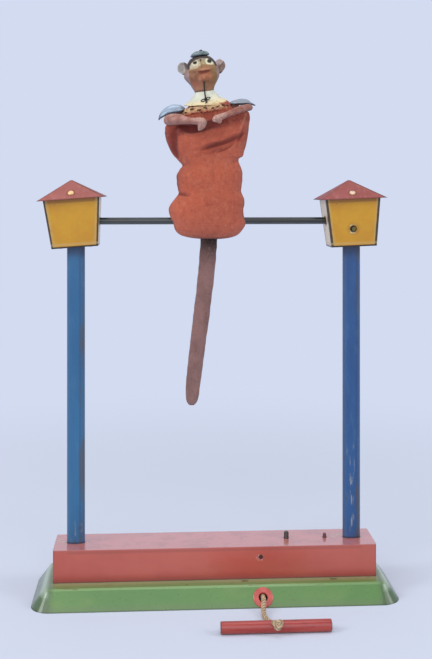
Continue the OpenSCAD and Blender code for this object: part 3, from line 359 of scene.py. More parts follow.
# Bare metal under the paint: colour, and no gloss
TIN = (150, 146, 138, 0)
RUST = (96, 66, 44, 0)


def green_paint():
    g = Graph("green_paint", gloss=GLOSS, Coat_Weight=0.45, Coat_Roughness=0.18)
    slow, mid, fine = g.noise(46, 3), g.noise(9, stretch=(0.5, 1, 1), shift=8), g.noise(2.2)
    g.start(slow, (90, 131, 77), (98, 137, 80))
    g.lay(g.span(mid, 0.5, 0.7) * 0.35, 120, 148, 88)
    g.lay(g.span(g.z, 4.5, 0.6) * 0.6, 104, 126, 90)
    ledge = g.span(g.z, BASE_TOP - 0.8, BASE_TOP - 0.05)
    beside = g.span(abs(g.y), 20.6, 16.2)
    g.lay(ledge * 0.6, 102, 126, 74)
    streak = g.cloud(0.42, 0.58, 13, stretch=(0.22, 1, 1))
    worn = ledge * beside * g.span(abs(g.x), 104, 98)
    g.lay(worn * 0.6, 160, 160, 124)
    g.lay(worn * streak * 0.65, 168, 146, 120)
    stripe = g.cloud(0.56, 0.64, 7, stretch=(0.12, 1, 1), shift=17)
    g.lay(worn * stripe * 0.6, 112, 140, 80)
    # Painted highlight along the rim of the ledge, stronger towards the left end
    rim = g.near(g.z, BASE_TOP - 0.5, 0.75)
    g.lay(rim * 0.5, 126, 162, 106)
    g.lay(rim * g.span(g.x, 75, 35) * 0.25, 166, 198, 150)
    dents = g.cloud(0.62, 0.68, 5, stretch=(0.35, 1, 1), shift=7)
    g.lay(rim * dents * 0.8, 118, 108, 84)
    ends = g.span(abs(g.x), 97, 103)
    g.lay(ends * 0.7, 84, 98, 82)
    stain = ends * g.cloud(0.56, 0.66, 6, shift=3)
    g.lay(stain * 0.75, 70, 92, 70)
    # Painted highlight on the slopes at the ends
    end_highlight = g.span(abs(g.x), 100.5, 104) * g.span(g.z + fine * 2, 6.5, BASE_TOP - 1)
    g.lay(end_highlight * 0.6, 186, 206, 184)
    # Painted shade in the slots that take the box's tabs
    for across in (17.5, 72.5):
        slot = g.away(x=(g.x - across) * 0.4, y=g.y + 17.2)
        slot = g.span(slot + (fine - 0.5) * 0.8, 1.15, 0.8) * ledge
        g.lay(slot * 0.85, 56, 42, 30, 0.01)
    chips = g.spots(13, 0.03, 0.1) * g.cloud(0.5, 0.56, 24, 2, shift=3)
    g.lay(chips, *RUST)
    # Painted shade along the foot, where the base meets the floor
    foot = g.span(g.z, 0.8, 0.25)
    g.lay(foot * 0.75, 62, 74, 56)
    g.lay(g.inside(), *TIN)
    rough = g.level(fine, 0.2, 0.4) + ledge * 0.15
    return g.finish(rough, slow + fine * 0.05, 0.5)


def red_paint():
    """Glossy red of the box: its top mirrors the posts."""
    g = Graph("red_paint", gloss=0.06, Coat_Weight=1.0, Coat_Roughness=0.24, Coat_IOR=1.5, IOR=1.8)
    slow, mid, fine = g.noise(40, 3), g.noise(11, stretch=(0.5, 1, 1), shift=5), g.noise(1.6)
    g.start(slow, (198, 102, 92, 0.08), (188, 92, 82, 0.08))
    g.lay(g.span(mid, 0.48, 0.7) * 0.4, 186, 104, 92, 0.08)
    low = g.span(g.z + (mid - 0.5) * 6, 17.5, 11.5)
    g.lay(low * 0.7, 164, 68, 50)
    g.lay(g.span(g.z, 14.2, 11.6) * 0.45, 132, 66, 42, 0.05)
    # Painted reflection: the top is laid over with a paler, pinker red
    top = g.span(g.z, BOX_TOP - 0.5, BOX_TOP)
    g.lay(top * 0.75, 212, 142, 138)
    wear = top * g.cloud(0.45, 0.66, 9, 5, shift=3)
    g.lay(wear * 0.35, 160, 104, 100)
    side = g.span(abs(g.y), BOX_Y - 0.5, BOX_Y - 0.05)
    # Painted shade in a band just below the top edge
    lip = side * g.near(g.z, BOX_TOP - 1.6, 1.3) * g.span(abs(g.x), 92, 90)
    g.lay(lip * 0.4, 150, 78, 58)
    for post in (-POST_X, POST_X):
        patch = g.blob(g.x, g.y, post - 9, 3.5, 5.0, 4.5, 0.6)
        patch = patch * top * g.cloud(0.42, 0.6, 2.4, shift=6)
        g.lay(patch * 0.55, 206, 176, 140)
    # Painted shade round the foot of each post
    seat = top * g.blob(abs(g.x), g.y, POST_X, 0, 6.4, 3.5, 0.2)
    g.lay(seat * 0.7, 70, 40, 38, 0.03)
    edge = g.edge(0.5, 0.03, 0.2)
    upright = g.span(abs(g.x), BOX_X - 0.9, BOX_X - 0.5) * side * g.span(g.z, BOX_TOP - 0.1, BOX_TOP - 0.5)
    g.lay(edge * 0.35, 128, 66, 54, 0.05)
    g.lay(upright * 0.75, 84, 56, 54, 0.03)
    chips = g.edge(0.9, 0.01, 0.12) * g.cloud(0.64, 0.7, 3, shift=11)
    g.lay(chips, *RUST)
    ring = g.blob(g.x, g.z, 27.2, 24.2, 2.6, 2.0, 0.3)
    ring = ring * g.span(g.y, 0.3 - BOX_Y, 0.05 - BOX_Y) * g.cloud(0.5, 0.56, 0.9, 3, shift=4)
    g.lay(ring * 0.7, 206, 170, 160, GLOSS)
    # Painted shade along the foot, where the box stands on the ledge
    foot = g.span(g.z, BASE_TOP + 0.8, BASE_TOP + 0.2)
    g.lay(foot * 0.8, 72, 46, 34, 0.02)
    g.lay(g.inside(), *TIN)
    rough = g.level(fine, 0.1, 0.17) + (1.0 - top) * 0.3
    return g.finish(rough, slow + fine * 0.05, 0.4)


def blue_paint(name, post, base, deep, scratched):
    """Blue of a post: flat front, painted highlight on its rounded sides, painted shadow under the lantern,
    rubbed places.
    """
    g = Graph(name, gloss=GLOSS, Coat_Weight=0.4, Coat_Roughness=0.22)
    slow, fine = g.noise(22, stretch=(1, 1, 0.3)), g.noise(1.4)
    g.start(slow, base, deep)
    across = g.x - post
    blotch = g.cloud(0.52, 0.68, 4.5, stretch=(1, 1, 0.25), shift=8)
    g.lay(blotch * 0.25, 86, 124, 160)
    # Painted highlight on the rounded sides, and a darker line where the flat front turns into them
    rounded = g.span(abs(across), 3.0, 4.4)
    g.lay(rounded * 0.4, 88, 108, 138)
    crease = g.near(across, 2.7, 0.9)
    g.lay(crease * 0.35, 50, 78, 112)
    wear = g.span(across, 1.6, 2.6) * g.cloud(0.5, 0.62, 10, stretch=(1, 1, 0.2), shift=4)
    g.lay(wear * 0.5, 96, 88, 74)
    # Painted shadow under the lantern
    top = g.span(g.z + slow * 3, LANTERN_FLOOR - 6.5, LANTERN_FLOOR - 1)
    g.lay(top * 0.6, 44, 56, 84, 0.02)
    scratch = g.cloud(0.555, 0.6, 1.9, stretch=(1, 1, 0.12), shift=2)
    if scratched:
        where = g.span(g.z, 74, 60) * g.span(g.y, 0.0, -1.5)
        where = where.most(g.span(g.z, 96, 84) * 0.4 * g.span(g.y, 0.0, -1.5))
        patch = g.cloud(0.4, 0.52, 8, 2, stretch=(1, 1, 0.4), shift=9) * g.span(abs(across), 4.2, 2.6)
        amount = 0.75
    else:
        where, patch, amount = g.span(g.z, 48, 34), g.cloud(0.48, 0.6, 6, 2, shift=9), 0.3
    g.lay(scratch * where * patch * amount, 190, 184, 166)
    rust = where * g.cloud(0.6, 0.66, 2.6, stretch=(1, 1, 0.3), shift=14)
    g.lay(rust * 0.55, 92, 74, 60)
    # Painted shade at the foot, where the post stands on the box
    foot = g.span(g.z, BOX_TOP + 1.6, BOX_TOP + 0.2)
    g.lay(foot * 0.75, 40, 42, 58, 0.02)
    return g.finish(g.level(fine, 0.3, 0.46), slow + fine * 0.2, 0.12)


def lantern_frame(side):
    """The frame of a lantern, at the middle of its floor."""
    x, lean = LANTERNS[side]
    return Matrix.Translation((x, 0, LANTERN_FLOOR)) @ Matrix.Rotation(radians(-lean), 4, "Y")


def lantern_paint(side):
    """Ochre with a black line along each upright fold, and bare tin inside."""
    g = Graph(f"ochre_{side}", lantern_frame(side), GLOSS, Coat_Weight=0.3, Coat_Roughness=0.25)
    slow, mid, fine = g.noise(14, 3), g.noise(4, shift=9), g.noise(1)
    g.start(slow, (206, 154, 60), (198, 144, 56))
    g.lay(g.span(mid, 0.5, 0.7) * 0.4, 190, 152, 66)
    # Painted shadow under the roof: darker towards the top, with a dark band just below the eaves
    g.lay(g.span(g.z, 24, 30) * 0.12, 176, 118, 48)
    g.lay(g.span(g.z, 27.4, 28.3) * 0.7, 150, 94, 34, 0.02)
    # Painted reflection: the faces towards the bar are made pale
    facing = g.split(g.normal())[0]
    reflection_to_bar = g.span(facing * (-1 if side == "right" else 1), 0.7, 0.9)
    g.lay(reflection_to_bar * 0.7, 226, 216, 200)
    to_side = g.z * GROW_X + BODY_X - abs(g.x)
    to_front = g.z * GROW_Y + BODY_Y - abs(g.y)
    fold = to_side.most(to_front)
    pale = g.near(fold, 1.9, 0.9)
    g.lay(pale * 0.5, 186, 166, 120)
    grime = g.span(fold, 3.6, 0.8) * g.cloud(0.5, 0.68, 4, shift=3)
    g.lay(grime * 0.35, 150, 102, 56)
    wobble = g.shake(0.5, 5, 3, shift=6)
    thick = 1.45 if side == "right" else 1.15
    line = g.span(fold + wobble, thick + 0.15, thick - 0.25)
    g.lay(line * 0.92, 32, 24, 22, 0.01)
    low = g.near(g.z, 2.2, 1.1)
    g.lay(low * 0.45, 196, 168, 118)
    g.lay(g.span(g.z, 1.2, 0.75), 42, 34, 28, 0.01)
    if side == "right":
        round_hole = g.away(x=g.x + 0.3, z=g.z - 11.2)
        stain = g.span(round_hole + mid * 2.5, 6.4, 2.8) * g.span(g.y, 0, -2)
        g.lay(stain * 0.55, 150, 104, 40)
        lip = g.near(round_hole, 2.7, 0.7) * g.span(g.y, 0, -2)
        g.lay(lip * g.span(mid, 0.42, 0.6) * 0.8, 206, 190, 148)
    chips = g.cloud(0.69, 0.74, 2.2, shift=8)
    g.lay(chips * 0.5, 120, 84, 44)
    inner = to_side.least(to_front)
    hidden = g.span(inner, 0.25, 0.4) * g.span(abs(g.z - 40), 39.8, 39.4)
    g.lay(hidden, *TIN)
    return g.finish(g.level(fine, 0.32, 0.5), slow + fine * 0.2, 0.12)


def roof_paint(side, base, deep):
    """Dull red of a roof: dark hips and eaves, and a ring round the rivet."""
    g = Graph(f"roof_{side}", lantern_frame(side), GLOSS)
    slow, fine = g.noise(10, 5), g.noise(0.9)
    g.start(slow, base, deep)
    streak = g.cloud(0.52, 0.7, 3, stretch=(1, 0.4, 0.4), shift=12)
    g.lay(streak * 0.3, 190, 134, 128)
    hip = g.edge(0.7, 0.004, 0.06)
    g.lay(hip * 0.7, 92, 62, 62)
    eave = g.span(g.z, 30.9, 30.1)
    g.lay(eave * 0.6, 116, 60, 54)
    tips = g.span(abs(g.x) + slow * 2, 19.5, 21.5) * eave
    g.lay(tips * 0.8, 82, 78, 88)
    chips = g.cloud(0.7, 0.75, 1.8, shift=9)
    g.lay(chips * 0.7, 84, 54, 44)
    shrink = (ROOF_APEX - g.z) / ROOF_H
    from_hip = (shrink * ROOF_X - abs(g.x)).most(shrink * ROOF_Y - abs(g.y))
    hip = g.span(from_hip, 1.1, -0.1) * (0.25 + g.span(g.x, 0, 5) * 0.45)
    g.lay(hip, 92, 72, 76)
    ring = g.near(g.away(x=g.x, z=(g.z - 33.7) * 1.6), 2.4, 0.8)
    g.lay(ring * 0.55, 118, 76, 66)
    g.lay(g.span(g.split(g.normal())[2], -0.2, -0.4), *TIN)
    return g.finish(g.level(fine, 0.5, 0.72), slow + fine * 0.3, 0.1)


def metal(name, base, tarnish, rough, size=6):
    """Bare metal with blotches of tarnish and brighter edges."""
    g = Graph(name, Metallic=1.0)
    slow, fine = g.noise(size, 5), g.noise(0.7)
    g.start(slow, base, tarnish, 0.42, 0.68, 0.6)
    brighter = tuple(min(1.0, c * 1.25) for c in lin(*base)[:3]) + (1,)
    g.colour = g.mix(g.edge(0.25) * 0.35, g.colour, brighter)
    return g.finish(g.level(slow * 0.6 + fine * 0.4, rough - 0.08, rough + 0.16), fine, 0.02)


def drawn_bar():
    """Drawn steel: grimy along the front, with a painted reflection brighter underneath, and streaks along its
    length.
    """
    g = Graph("bar_steel", Metallic=1.0)
    streak = g.noise(1.3, 2, stretch=(0.01, 1, 1))
    fine = g.noise(0.5, 3, stretch=(0.02, 1, 1), shift=5)
    g.start(streak, (60, 60, 58), (80, 81, 80), 0.42, 0.58)
    # Painted reflection: a brighter band along the underside
    reflection_below = g.span(g.z, BAR_H - 0.5, BAR_H - 1.4)
    g.lay(reflection_below * 0.85, 108, 114, 118)
    upper = g.span(g.z, BAR_H + 0.9, BAR_H + 1.7)
    g.lay(upper * 0.6, 68, 71, 69)
    g.lay(g.span(fine, 0.5, 0.66) * 0.4, 64, 62, 60)
    stain = g.cloud(0.6, 0.74, 7, shift=2)
    g.lay(stain * 0.4, 82, 72, 60)
    return g.finish(g.level(streak, 0.26, 0.46), fine, 0.03)


def plain_paint(name, base, deep, edge_colour, rough, size, edge):
    """Paint that is worn along the edges and chipped."""
    g = Graph(name, Coat_Weight=0.4, Coat_Roughness=0.2)
    slow, fine = g.noise(size), g.noise(size / 7, shift=3)
    g.start(slow, base, deep)
    g.lay(g.edge(edge) * 0.8, *edge_colour)
    chips = g.cloud(0.66, 0.72, size / 3, shift=6)
    g.lay(chips * 0.7, *edge_colour)
    return g.finish(g.level(fine, rough - 0.08, rough + 0.12), slow + fine * 0.3, 0.08)


def rivet_paint():
    """Cream rivets of the roofs: the left one yellowed, the right one rubbed dark in its middle."""
    g = Graph("cream_rivet", Coat_Weight=0.3, Coat_Roughness=0.25)
    slow = g.noise(1.6)
    g.start(g.x, (246, 204, 142), (232, 200, 168), -1, 1)
    g.lay(g.span(slow, 0.48, 0.66) * 0.5, 206, 156, 104)
    g.lay(g.blob(g.x, g.z, POST_X - 1.3, LANTERN_FLOOR + 35.2, 1.1, 0.75, 0.6) * 0.7, 134, 88, 66)
    g.lay(g.edge(0.18) * 0.8, 130, 82, 66)
    return g.finish(g.level(slow, 0.35, 0.5), slow, 0.08)


def handle_paint():
    """Red lacquer on a turned stick, rubbed and dark at its ends."""
    g = Graph("handle_red", gloss=GLOSS, Coat_Weight=0.5, Coat_Roughness=0.2)
    grain = g.noise(2.2, stretch=(0.06, 1, 1))
    fine = g.noise(0.8, stretch=(0.3, 1, 1), shift=2)
    g.start(grain, (176, 80, 76), (160, 66, 66), 0.38, 0.64)
    g.lay(g.near(g.z, 4.6, 0.8) * 0.3, 150, 74, 76)
    scuff = g.cloud(0.62, 0.7, 5, 5, stretch=(0.5, 1, 1), shift=4)
    g.lay(scuff * 0.7, 80, 46, 44, 0.02)
    end = g.span(abs(g.x - HANDLE_AT.x), 30.9, 31.6)
    ragged = g.span(end + g.shake(0.9, 1.6, 3, shift=8), 0.4, 0.8)
    g.lay(ragged * 0.85, 84, 52, 58, 0.02)
    # Painted shade on the underside, towards the floor
    lower = g.span(g.z, 1.5, 0.3)
    g.lay(lower * 0.5, 96, 56, 54, 0.02)
    return g.finish(g.level(fine, 0.26, 0.45), grain, 0.1)


def wood():
    g = Graph("bare_wood")
    grain = g.noise(3, stretch=(1, 1, 0.08))
    fine = g.noise(0.7, 3, stretch=(1, 1, 0.15), shift=3)
    g.start(grain, (196, 160, 112), (164, 124, 80))
    g.lay(g.span(fine, 0.55, 0.7) * 0.5, 118, 84, 54)
    shoulders = g.span(g.z, BAR_H + 60, BAR_H + 63) * g.span(abs(g.x + 5), 13, 15)
    g.lay(shoulders * 0.9, 122, 72, 60)
    return g.finish(g.level(fine, 0.5, 0.75), grain + fine, 0.1)


# Width of the cloth's threads, and the gown's radius for laying them out
THREAD, GOWN_R = 0.42, 20.0


def weave(g, thread):
    """Relief of a plain weave with threads of that width, laid by height and by the way round."""
    round_it = g.y.math("ARCTAN2", g.y, g.x) * GOWN_R
    across, along = round_it * (pi / thread), g.z * (pi / thread)
    return across.math("SINE", across) * along.math("SINE", along)


def gown_cloth():
    """Faded orange-red cotton: painted shade makes it darker and redder above and in the folds, painted light
    lifts the ridges.
    """
    g = Graph("orange_cloth", FIGURE, Specular_IOR_Level=0.2, Sheen_Weight=0.12, Sheen_Roughness=0.5)
    x, z = g.x, g.z
    slow, mid, fine = g.noise(24), g.noise(6, shift=3), g.noise(0.9, 3, shift=5)
    shaky = g.shake(5, 7, 3, shift=9)
    threads = weave(g, THREAD)
    g.start(slow, (202, 104, 78), (188, 96, 74))
    g.lay(g.span(z, 12, -8) * 0.55, 190, 106, 84)
    # Painted light on the lit part of the drape
    lit_drape = g.near(z + shaky, 38, 6) * g.span(x, -8, 2)
    g.lay(lit_drape * 0.35, 206, 112, 86)
    front = g.span(g.y + shaky * 0.4, -0.5, -4.0)
    # Painted shade on the right, above the slanting fold
    right = g.span(x + shaky, -4, 4) * g.span(z + shaky, 48, 53) * front
    g.lay(right * 0.4, 174, 82, 62)
    # Painted shade above the line under the arms, darker still on the right
    ridge = 57.2 + x * 0.22
    above = g.span(z + shaky * 0.3 - ridge, -1.0, 1.0) * front
    g.lay(above * 0.75, 158, 74, 60)
    g.lay(above * g.span(x, 0, 6) * g.span(z, 68, 64) * 0.55, 128, 58, 50)
    # Painted shade in the recess under the arms
    recess = above * g.span(z - ridge, 7.5, 4.5)
    recess = recess * g.span(x, -21, -18) * g.span(x, 9, -1)
    g.lay(recess * 0.75, 96, 38, 44)
    # Painted shade in the groove beside the left sleeve
    sleeve = g.span(x, -19.6, -20.8) * g.span(z, 38, 41) * g.span(z + shaky, 60, 52)
    sleeve = sleeve * front
    g.lay(sleeve * 0.8, 122, 58, 58)
    frayed = g.span(z - x * 0.155, 61.5, 65.5) * g.cloud(0.5, 0.62, 1.5, stretch=(1, 1, 0.14), shift=23)
    g.lay(frayed * 0.55, 212, 138, 104)
    chest = g.span(z - x * 0.155, 64, 67) * g.span(g.y, 0, -3)
    g.lay(chest * 0.6, 178, 88, 68)
    # Painted shade along the left edge
    left = g.span(x, -18.2, -20.4) * g.span(z, 15, 19) * g.span(z, 32, 26)
    g.lay(left * front * 0.5, 112, 62, 68)
    # Painted highlight along the ridge on the right, and painted shade beyond it
    line = (z - 56.1) * 0.4 + 18.4
    light = g.near(x - line, 0.0, 0.9) * g.span(z, 54, 58) * front
    beyond = g.span(x - line, 0.6, 2.0) * g.span(z, 42, 52) * front
    g.lay(beyond * 0.38, 132, 74, 66)
    # Painted shade along the lower branch of the slanting fold
    branch = 42.8 + (x * 0.19 + x.most(0.0) * x.most(0.0) * 0.012)
    branch = g.near(z - branch + shaky * 0.25, 0.0, 2.0) * g.span(x, -13, -6) * g.span(x, 16, 12)
    g.lay(branch * front * 0.42, 146, 62, 48)
    # Painted shade in the dip of the fold
    dip = g.blob(x + shaky, z + shaky * 0.3, 4.0, 44.6, 5.5, 2.2, 0.8) * front
    g.lay(dip * 0.5, 146, 66, 54)
    # Lays the painted highlight along the right ridge
    g.lay(light * 0.5, 206, 138, 116)
    g.lay(g.span(mid, 0.52, 0.7) * 0.3, 208, 128, 100)
    g.lay(g.cloud(0.52, 0.7, 3.2, stretch=(1, 1, 0.35), shift=15) * 0.35, 168, 78, 60)
    g.lay(g.span(fine, 0.45, 0.7) * 0.28, 154, 76, 60)
    mottle = g.noise(2.2, 3, 0.6, shift=21)
    g.lay(g.span(mottle, 0.55, 0.72) * 0.4, 222, 138, 110)
    g.lay(g.span(mottle, 0.44, 0.3) * 0.4, 150, 62, 48)
    g.lay(g.span(threads, 0.2, -0.9) * 0.2, 128, 58, 46)
    # Painted shade in the folds and painted light where the cloth stands out, from the fold depth stored with
    # the mesh
    deep = g.hollow()
    g.lay(g.span(deep, 0.12, 0.85) * 0.8, 116, 46, 40)
    g.lay(g.span(deep, -0.12, -0.5) * 0.4, 214, 124, 96)
    # Painted shade on the sides that turn away, broken up by noise
    sides = g.span(abs(g.split(g.normal())[0]), 0.8, 0.97) * g.span(z, 62, 58)
    sides = sides * (0.25 + g.cloud(0.4, 0.62, 5, shift=31) * 0.35)
    g.lay(sides, 124, 60, 52)
    hem = g.span(z, -9.4, -11.0)
    g.lay(hem * 0.55, 104, 52, 48)
    fray = g.near(z, -9.6, 1.3) * g.span(x, -8, -14) * g.cloud(0.5, 0.62, 1.6, shift=7)
    g.lay(fray * 0.7, 206, 160, 104)
    return g.finish(g.level(fine, 0.82, 0.97), threads * 0.5 + (fine + mid), 0.25)


FELT = {"Specular_IOR_Level": 0.2, "Sheen_Weight": 0.12, "Sheen_Roughness": 0.6}


def felt(name, base, deep, pale, size, frame_of=None, wear_and_shade=None):
    """Short matted fibres over a blotchy ground; the last argument may lay wear and painted shade over parts of
    it.
    """
    g = Graph(name, frame_of, **FELT)
    slow = g.noise(5 * size)
    fibre = g.noise(0.8 * size, 5, 0.7, stretch=(1.6, 1, 0.7), shift=4)
    g.start(slow, base, deep, 0.34, 0.66)
    g.lay(g.span(fibre, 0.5, 0.72) * 0.55, *pale)
    if wear_and_shade:
        wear_and_shade(g)
    return g.finish(g.level(fibre, 0.82, 0.98), fibre, 0.3 * size)


def tail_felt():
    g = Graph("tail_felt", FIGURE, **FELT)
    slow = g.noise(9, stretch=(1, 1, 0.6))
    fibre = g.noise(0.9, 5, 0.7, stretch=(1.4, 1, 0.6), shift=4)
    # Painted shade at the top, where the tail hangs under the gown, fading downwards
    g.start(g.z, (40, 28, 28), (140, 104, 100), -10, -34)
    g.lay(g.span(g.z, -60, -100) * 0.6, 144, 110, 106)
    g.lay(g.span(slow, 0.4, 0.66) * 0.55, 108, 78, 74)
    g.lay(g.span(fibre, 0.5, 0.72) * 0.4, 164, 130, 120)
    speck = g.cloud(0.62, 0.68, 1.5, shift=8)
    g.lay(speck * 0.6, 74, 54, 50)
    return g.finish(g.level(fibre, 0.85, 0.98), fibre + slow, 0.45)


def head_paint():
    """Painted composition head: cream eye patches, brown muzzle, dark hairline, worn grey-pink sides."""
    g = Graph("head_brown", HEAD, Specular_IOR_Level=0.35)
    x, z = g.x, g.z
    slow, fine = g.noise(4), g.noise(0.8, shift=2)
    shaky = g.shake(2.0, 2, 3, shift=6)
    g.start(slow, (158, 132, 128), (126, 104, 100))
    g.lay(g.span(fine, 0.5, 0.7) * 0.6, 182, 164, 162)
    side = g.colour
    g.start(slow, (150, 105, 78), (126, 83, 58), 0.36, 0.62)
    olive = g.span(x + shaky, 2.5, 6.5)
    g.lay(olive * 0.6, 142, 112, 66)
    rosy = g.span(x + shaky, 0, -4) * g.span(z, 9, 3)
    g.lay(rosy * 0.6, 170, 104, 86)
    g.lay(g.span(z, 4.5, 1.5) * 0.4, 176, 128, 100)
    tawny = g.span(z + shaky, 11.6, 13.4)
    g.lay(tawny * 0.7, 158, 119, 82)
    lip = g.blob(x + shaky, z, 0.9, 12.0, 3.2, 0.7)
    g.lay(lip * 0.6, 200, 134, 104)
    salmon = g.blob(x + shaky, z + shaky, 0.6, 7.8, 4.8, 2.2, 0.6)
    g.lay(salmon * 0.6, 190, 118, 82)
    # Painted highlights on the lower lip
    for spot_x, spot_z, share in ((-0.9, 7.2, 0.5), (3.5, 7.2, 0.2), (-3.2, 6.4, 0.3)):
        spot = g.blob(x + shaky * 1.6, z - shaky, spot_x, spot_z, 0.9, 0.8, 0.9)
        g.lay(spot * share, 214, 152, 124)
    smile = z - (10.2 + (x + 0.1) * (x + 0.1) * 0.055)
    mouth = g.span(abs(x + 0.1), 4.2, 3.1) * g.span(abs(smile + shaky * 0.7), 1.2, 0.5)
    g.lay(mouth * 0.8, 106, 42, 32)
    blotch = g.blob(x + shaky * 1.5, z + shaky, -2.6, 9.8, 1.8, 1.1, 0.8)
    blotch = blotch.most(g.blob(x + shaky, z + shaky, 1.0, 11.3, 1.9, 0.7, 0.7) * 0.8)
    g.lay(blotch * 0.5, 112, 52, 38)
    under_mouth = g.near(z, 8.8, 0.8)
    g.lay(under_mouth * g.span(abs(x), 5.5, 3.5) * 0.3, 140, 78, 56)
    brown = g.colour
    low_left = 13.3 + g.span(x, -4.5, -1.2) * 1.5
    low_right = 15.2 - g.span(x, -0.5, 8) * 0.8
    is_left = g.span(x, -0.9, -1.3)
    low = is_left * low_left + (1.0 - is_left) * low_right
    patch = g.span(z + shaky * 0.35 - low, -0.3, 0.4)
    g.start(slow, (184, 168, 128), (164, 147, 108), 0.4, 0.62)
    g.lay(g.span(z, 17.0, 18.2) * 0.75, 138, 130, 116)
    left_white = g.blob(x, z, -5.0, 15.9, 3.6, 2.6, 0.4)
    g.lay(left_white * 0.8, 204, 190, 162)
    g.lay(g.blob(x, z, -7.4, 15.2, 1.6, 2.2, 0.4) * 0.6, 190, 186, 172)
    speck = left_white * g.cloud(0.53, 0.6, 0.8, 3, shift=12)
    g.lay(speck * 0.65, 138, 118, 92)
    g.lay(g.near(z + shaky * 0.4, 14.2, 0.7) * 0.5, 184, 152, 116)
    g.colour = g.mix(patch, brown, g.colour)
    away = g.away(x=x - 4.6, z=z - 17.1)
    halo = g.near(away + shaky * 0.2, 2.1, 0.9)
    g.lay(halo * patch * 0.9, 232, 226, 200)
    away = g.away(x=x + 4.7, z=z - 17.2)
    halo = g.near(away + shaky * 0.2, 1.7, 0.6)
    g.lay(halo * patch * 0.6, 232, 222, 196)
    lash = g.near(away, 1.25, 0.5) * g.span(z, 17.2, 17.8)
    g.lay(lash * 0.6, 90, 72, 54)
    g.lay(g.blob(x, z + shaky * 0.15, -4.65, 17.2, 1.25, 0.82, 0.3), 30, 28, 22)
    g.lay(g.blob(x, z + shaky * 0.15, 4.4, 17.0, 1.45, 1.15, 0.3), 42, 42, 28)
    ridge = g.near(x + 1.1, 0.0, 0.45) * g.span(z, 12.0, 13.6) * g.span(z, 19.2, 18.6)
    g.lay(ridge * 0.55, 112, 84, 50)
    g.lay(g.blob(x, z, -1.0, 18.2, 0.55, 1.0, 0.5) * 0.9, 76, 52, 34)
    from_middle = x + 0.5
    oval = from_middle * from_middle / 70 + (abs(z - 13.4) / 6.3) ** 2.3
    oval = oval + shaky * 0.06
    band = g.span(oval, 0.84, 0.96) * g.span(z, 13.0, 14.4)
    width = 6.5 + g.span(z, 0.0, 8.0) * 2.1
    in_face = g.span(abs(x + 0.7) - (width + shaky * 0.3), 0.5, -0.4)
    beyond = g.span(oval, 1.0, 1.15) * g.span(z, 13.4, 14.2)
    in_face = in_face * g.span(g.y, 1.0, -1.0) * (1.0 - beyond)
    g.colour = g.mix(in_face, side, g.colour)
    outer = oval - g.span(z, 15.0, 17.5) * 0.2
    dark = band * g.span(outer, 1.5, 1.15) * g.span(g.y, 2.0, 0.0)
    g.lay(dark * 0.95, 52, 41, 36)
    scalp = g.span(outer, 1.15, 1.55) * g.span(z, 14.5, 17)
    g.lay(scalp * 0.7, 112, 98, 96)
    crown = g.span(z + x * -0.1, 19.3, 20.0)
    g.lay(crown, 62, 50, 46)
    jaw = g.span(z, 0.9, -0.3) * g.span(x, 1, -3)
    g.lay(jaw * 0.6, 84, 62, 54)
    worn = g.cloud(0.66, 0.72, 1.3, shift=9)
    g.lay(worn * 0.45, 190, 160, 130)
    return g.finish(g.level(fine, 0.55, 0.8), slow + fine, 0.3)


def card():
    """Whitish collar, yellowed and rubbed towards its lower edge."""
    g = Graph("cream_card", SHOULDER, Specular_IOR_Level=0.3)
    slow, fine = g.noise(5), g.noise(0.8, shift=2)
    g.start(slow, (230, 232, 216), (216, 220, 202))
    low = g.span(g.z + (slow - 0.5) * 5, 8.6, 4.4)
    g.lay(low * 0.8, 236, 216, 168)
    rim = g.span(g.z + (fine - 0.5) * 2, 4.6, 3.0)
    g.lay(rim * 0.6, 204, 168, 120)
    grime = g.cloud(0.6, 0.72, 2.6, shift=5)
    g.lay(grime * 0.5, 184, 170, 130)
    neck = g.span(g.z, 12.2, 13.2)
    g.lay(neck * 0.5, 150, 146, 128)
    return g.finish(g.level(fine, 0.7, 0.9), slow + fine, 0.15)


def plate_blue():
    """Light blue-grey enamel of the shoulder plates, dark along the rims and at the outer ends."""
    g = Graph("plate_blue", SHOULDER, GLOSS, Coat_Weight=0.15, Coat_Roughness=0.25)
    slow, fine = g.noise(5), g.noise(0.8, shift=2)
    g.start(slow, (186, 208, 232), (168, 186, 208))
    g.lay(g.span(g.x, 10, 20) * 0.8, 152, 156, 164)
    stripe = g.cloud(0.52, 0.62, 1.5, 3, stretch=(0.16, 1, 1), shift=3)
    g.lay(stripe * 0.5, 112, 120, 134)
    inner = g.span(abs(g.x), 17.5, 14.5)
    g.lay(inner * 0.6, 120, 112, 112)
    g.lay(g.span(g.hollow(), 0.8, 0.97) * 0.8, 76, 82, 94, 0.02)
    for place, share in ((0.22, 0.35), (0.5, 0.5)):
        g.lay(g.near(g.hollow(), place, 0.09) * share, 112, 120, 136)
    g.lay(g.span(g.hollow(), 0.1, 0.0) * 0.5, 112, 124, 140)
    tip = g.span(abs(g.x + 0.6), 28.0, 30.2)
    g.lay(tip * 0.75, 66, 62, 68, 0.02)
    chips = g.cloud(0.64, 0.7, 1.6, shift=6)
    g.lay(chips * 0.6, 96, 88, 84, 0.02)
    return g.finish(g.level(fine, 0.42, 0.62), slow, 0.15)


def twine_fibre(name, base, deep, pale):
    """Twine: pale fibres, and painted shade between the plies."""
    g = Graph(name, Specular_IOR_Level=0.25)
    slow, fibre = g.noise(3), g.noise(0.35, rough=0.7, shift=2)
    g.start(slow, base, deep)
    g.lay(g.span(fibre, 0.48, 0.7) * 0.7, *pale)
    # Painted shade between the plies, from the ply depth stored with the mesh
    dark = tuple(c * 0.26 for c in lin(*deep)[:3]) + (1.0,)
    g.colour = g.mix(g.span(g.hollow(), 0.25, 0.85) * 0.85, g.colour, dark)
    return g.finish(g.level(fibre, 0.8, 0.97), fibre, 0.12)


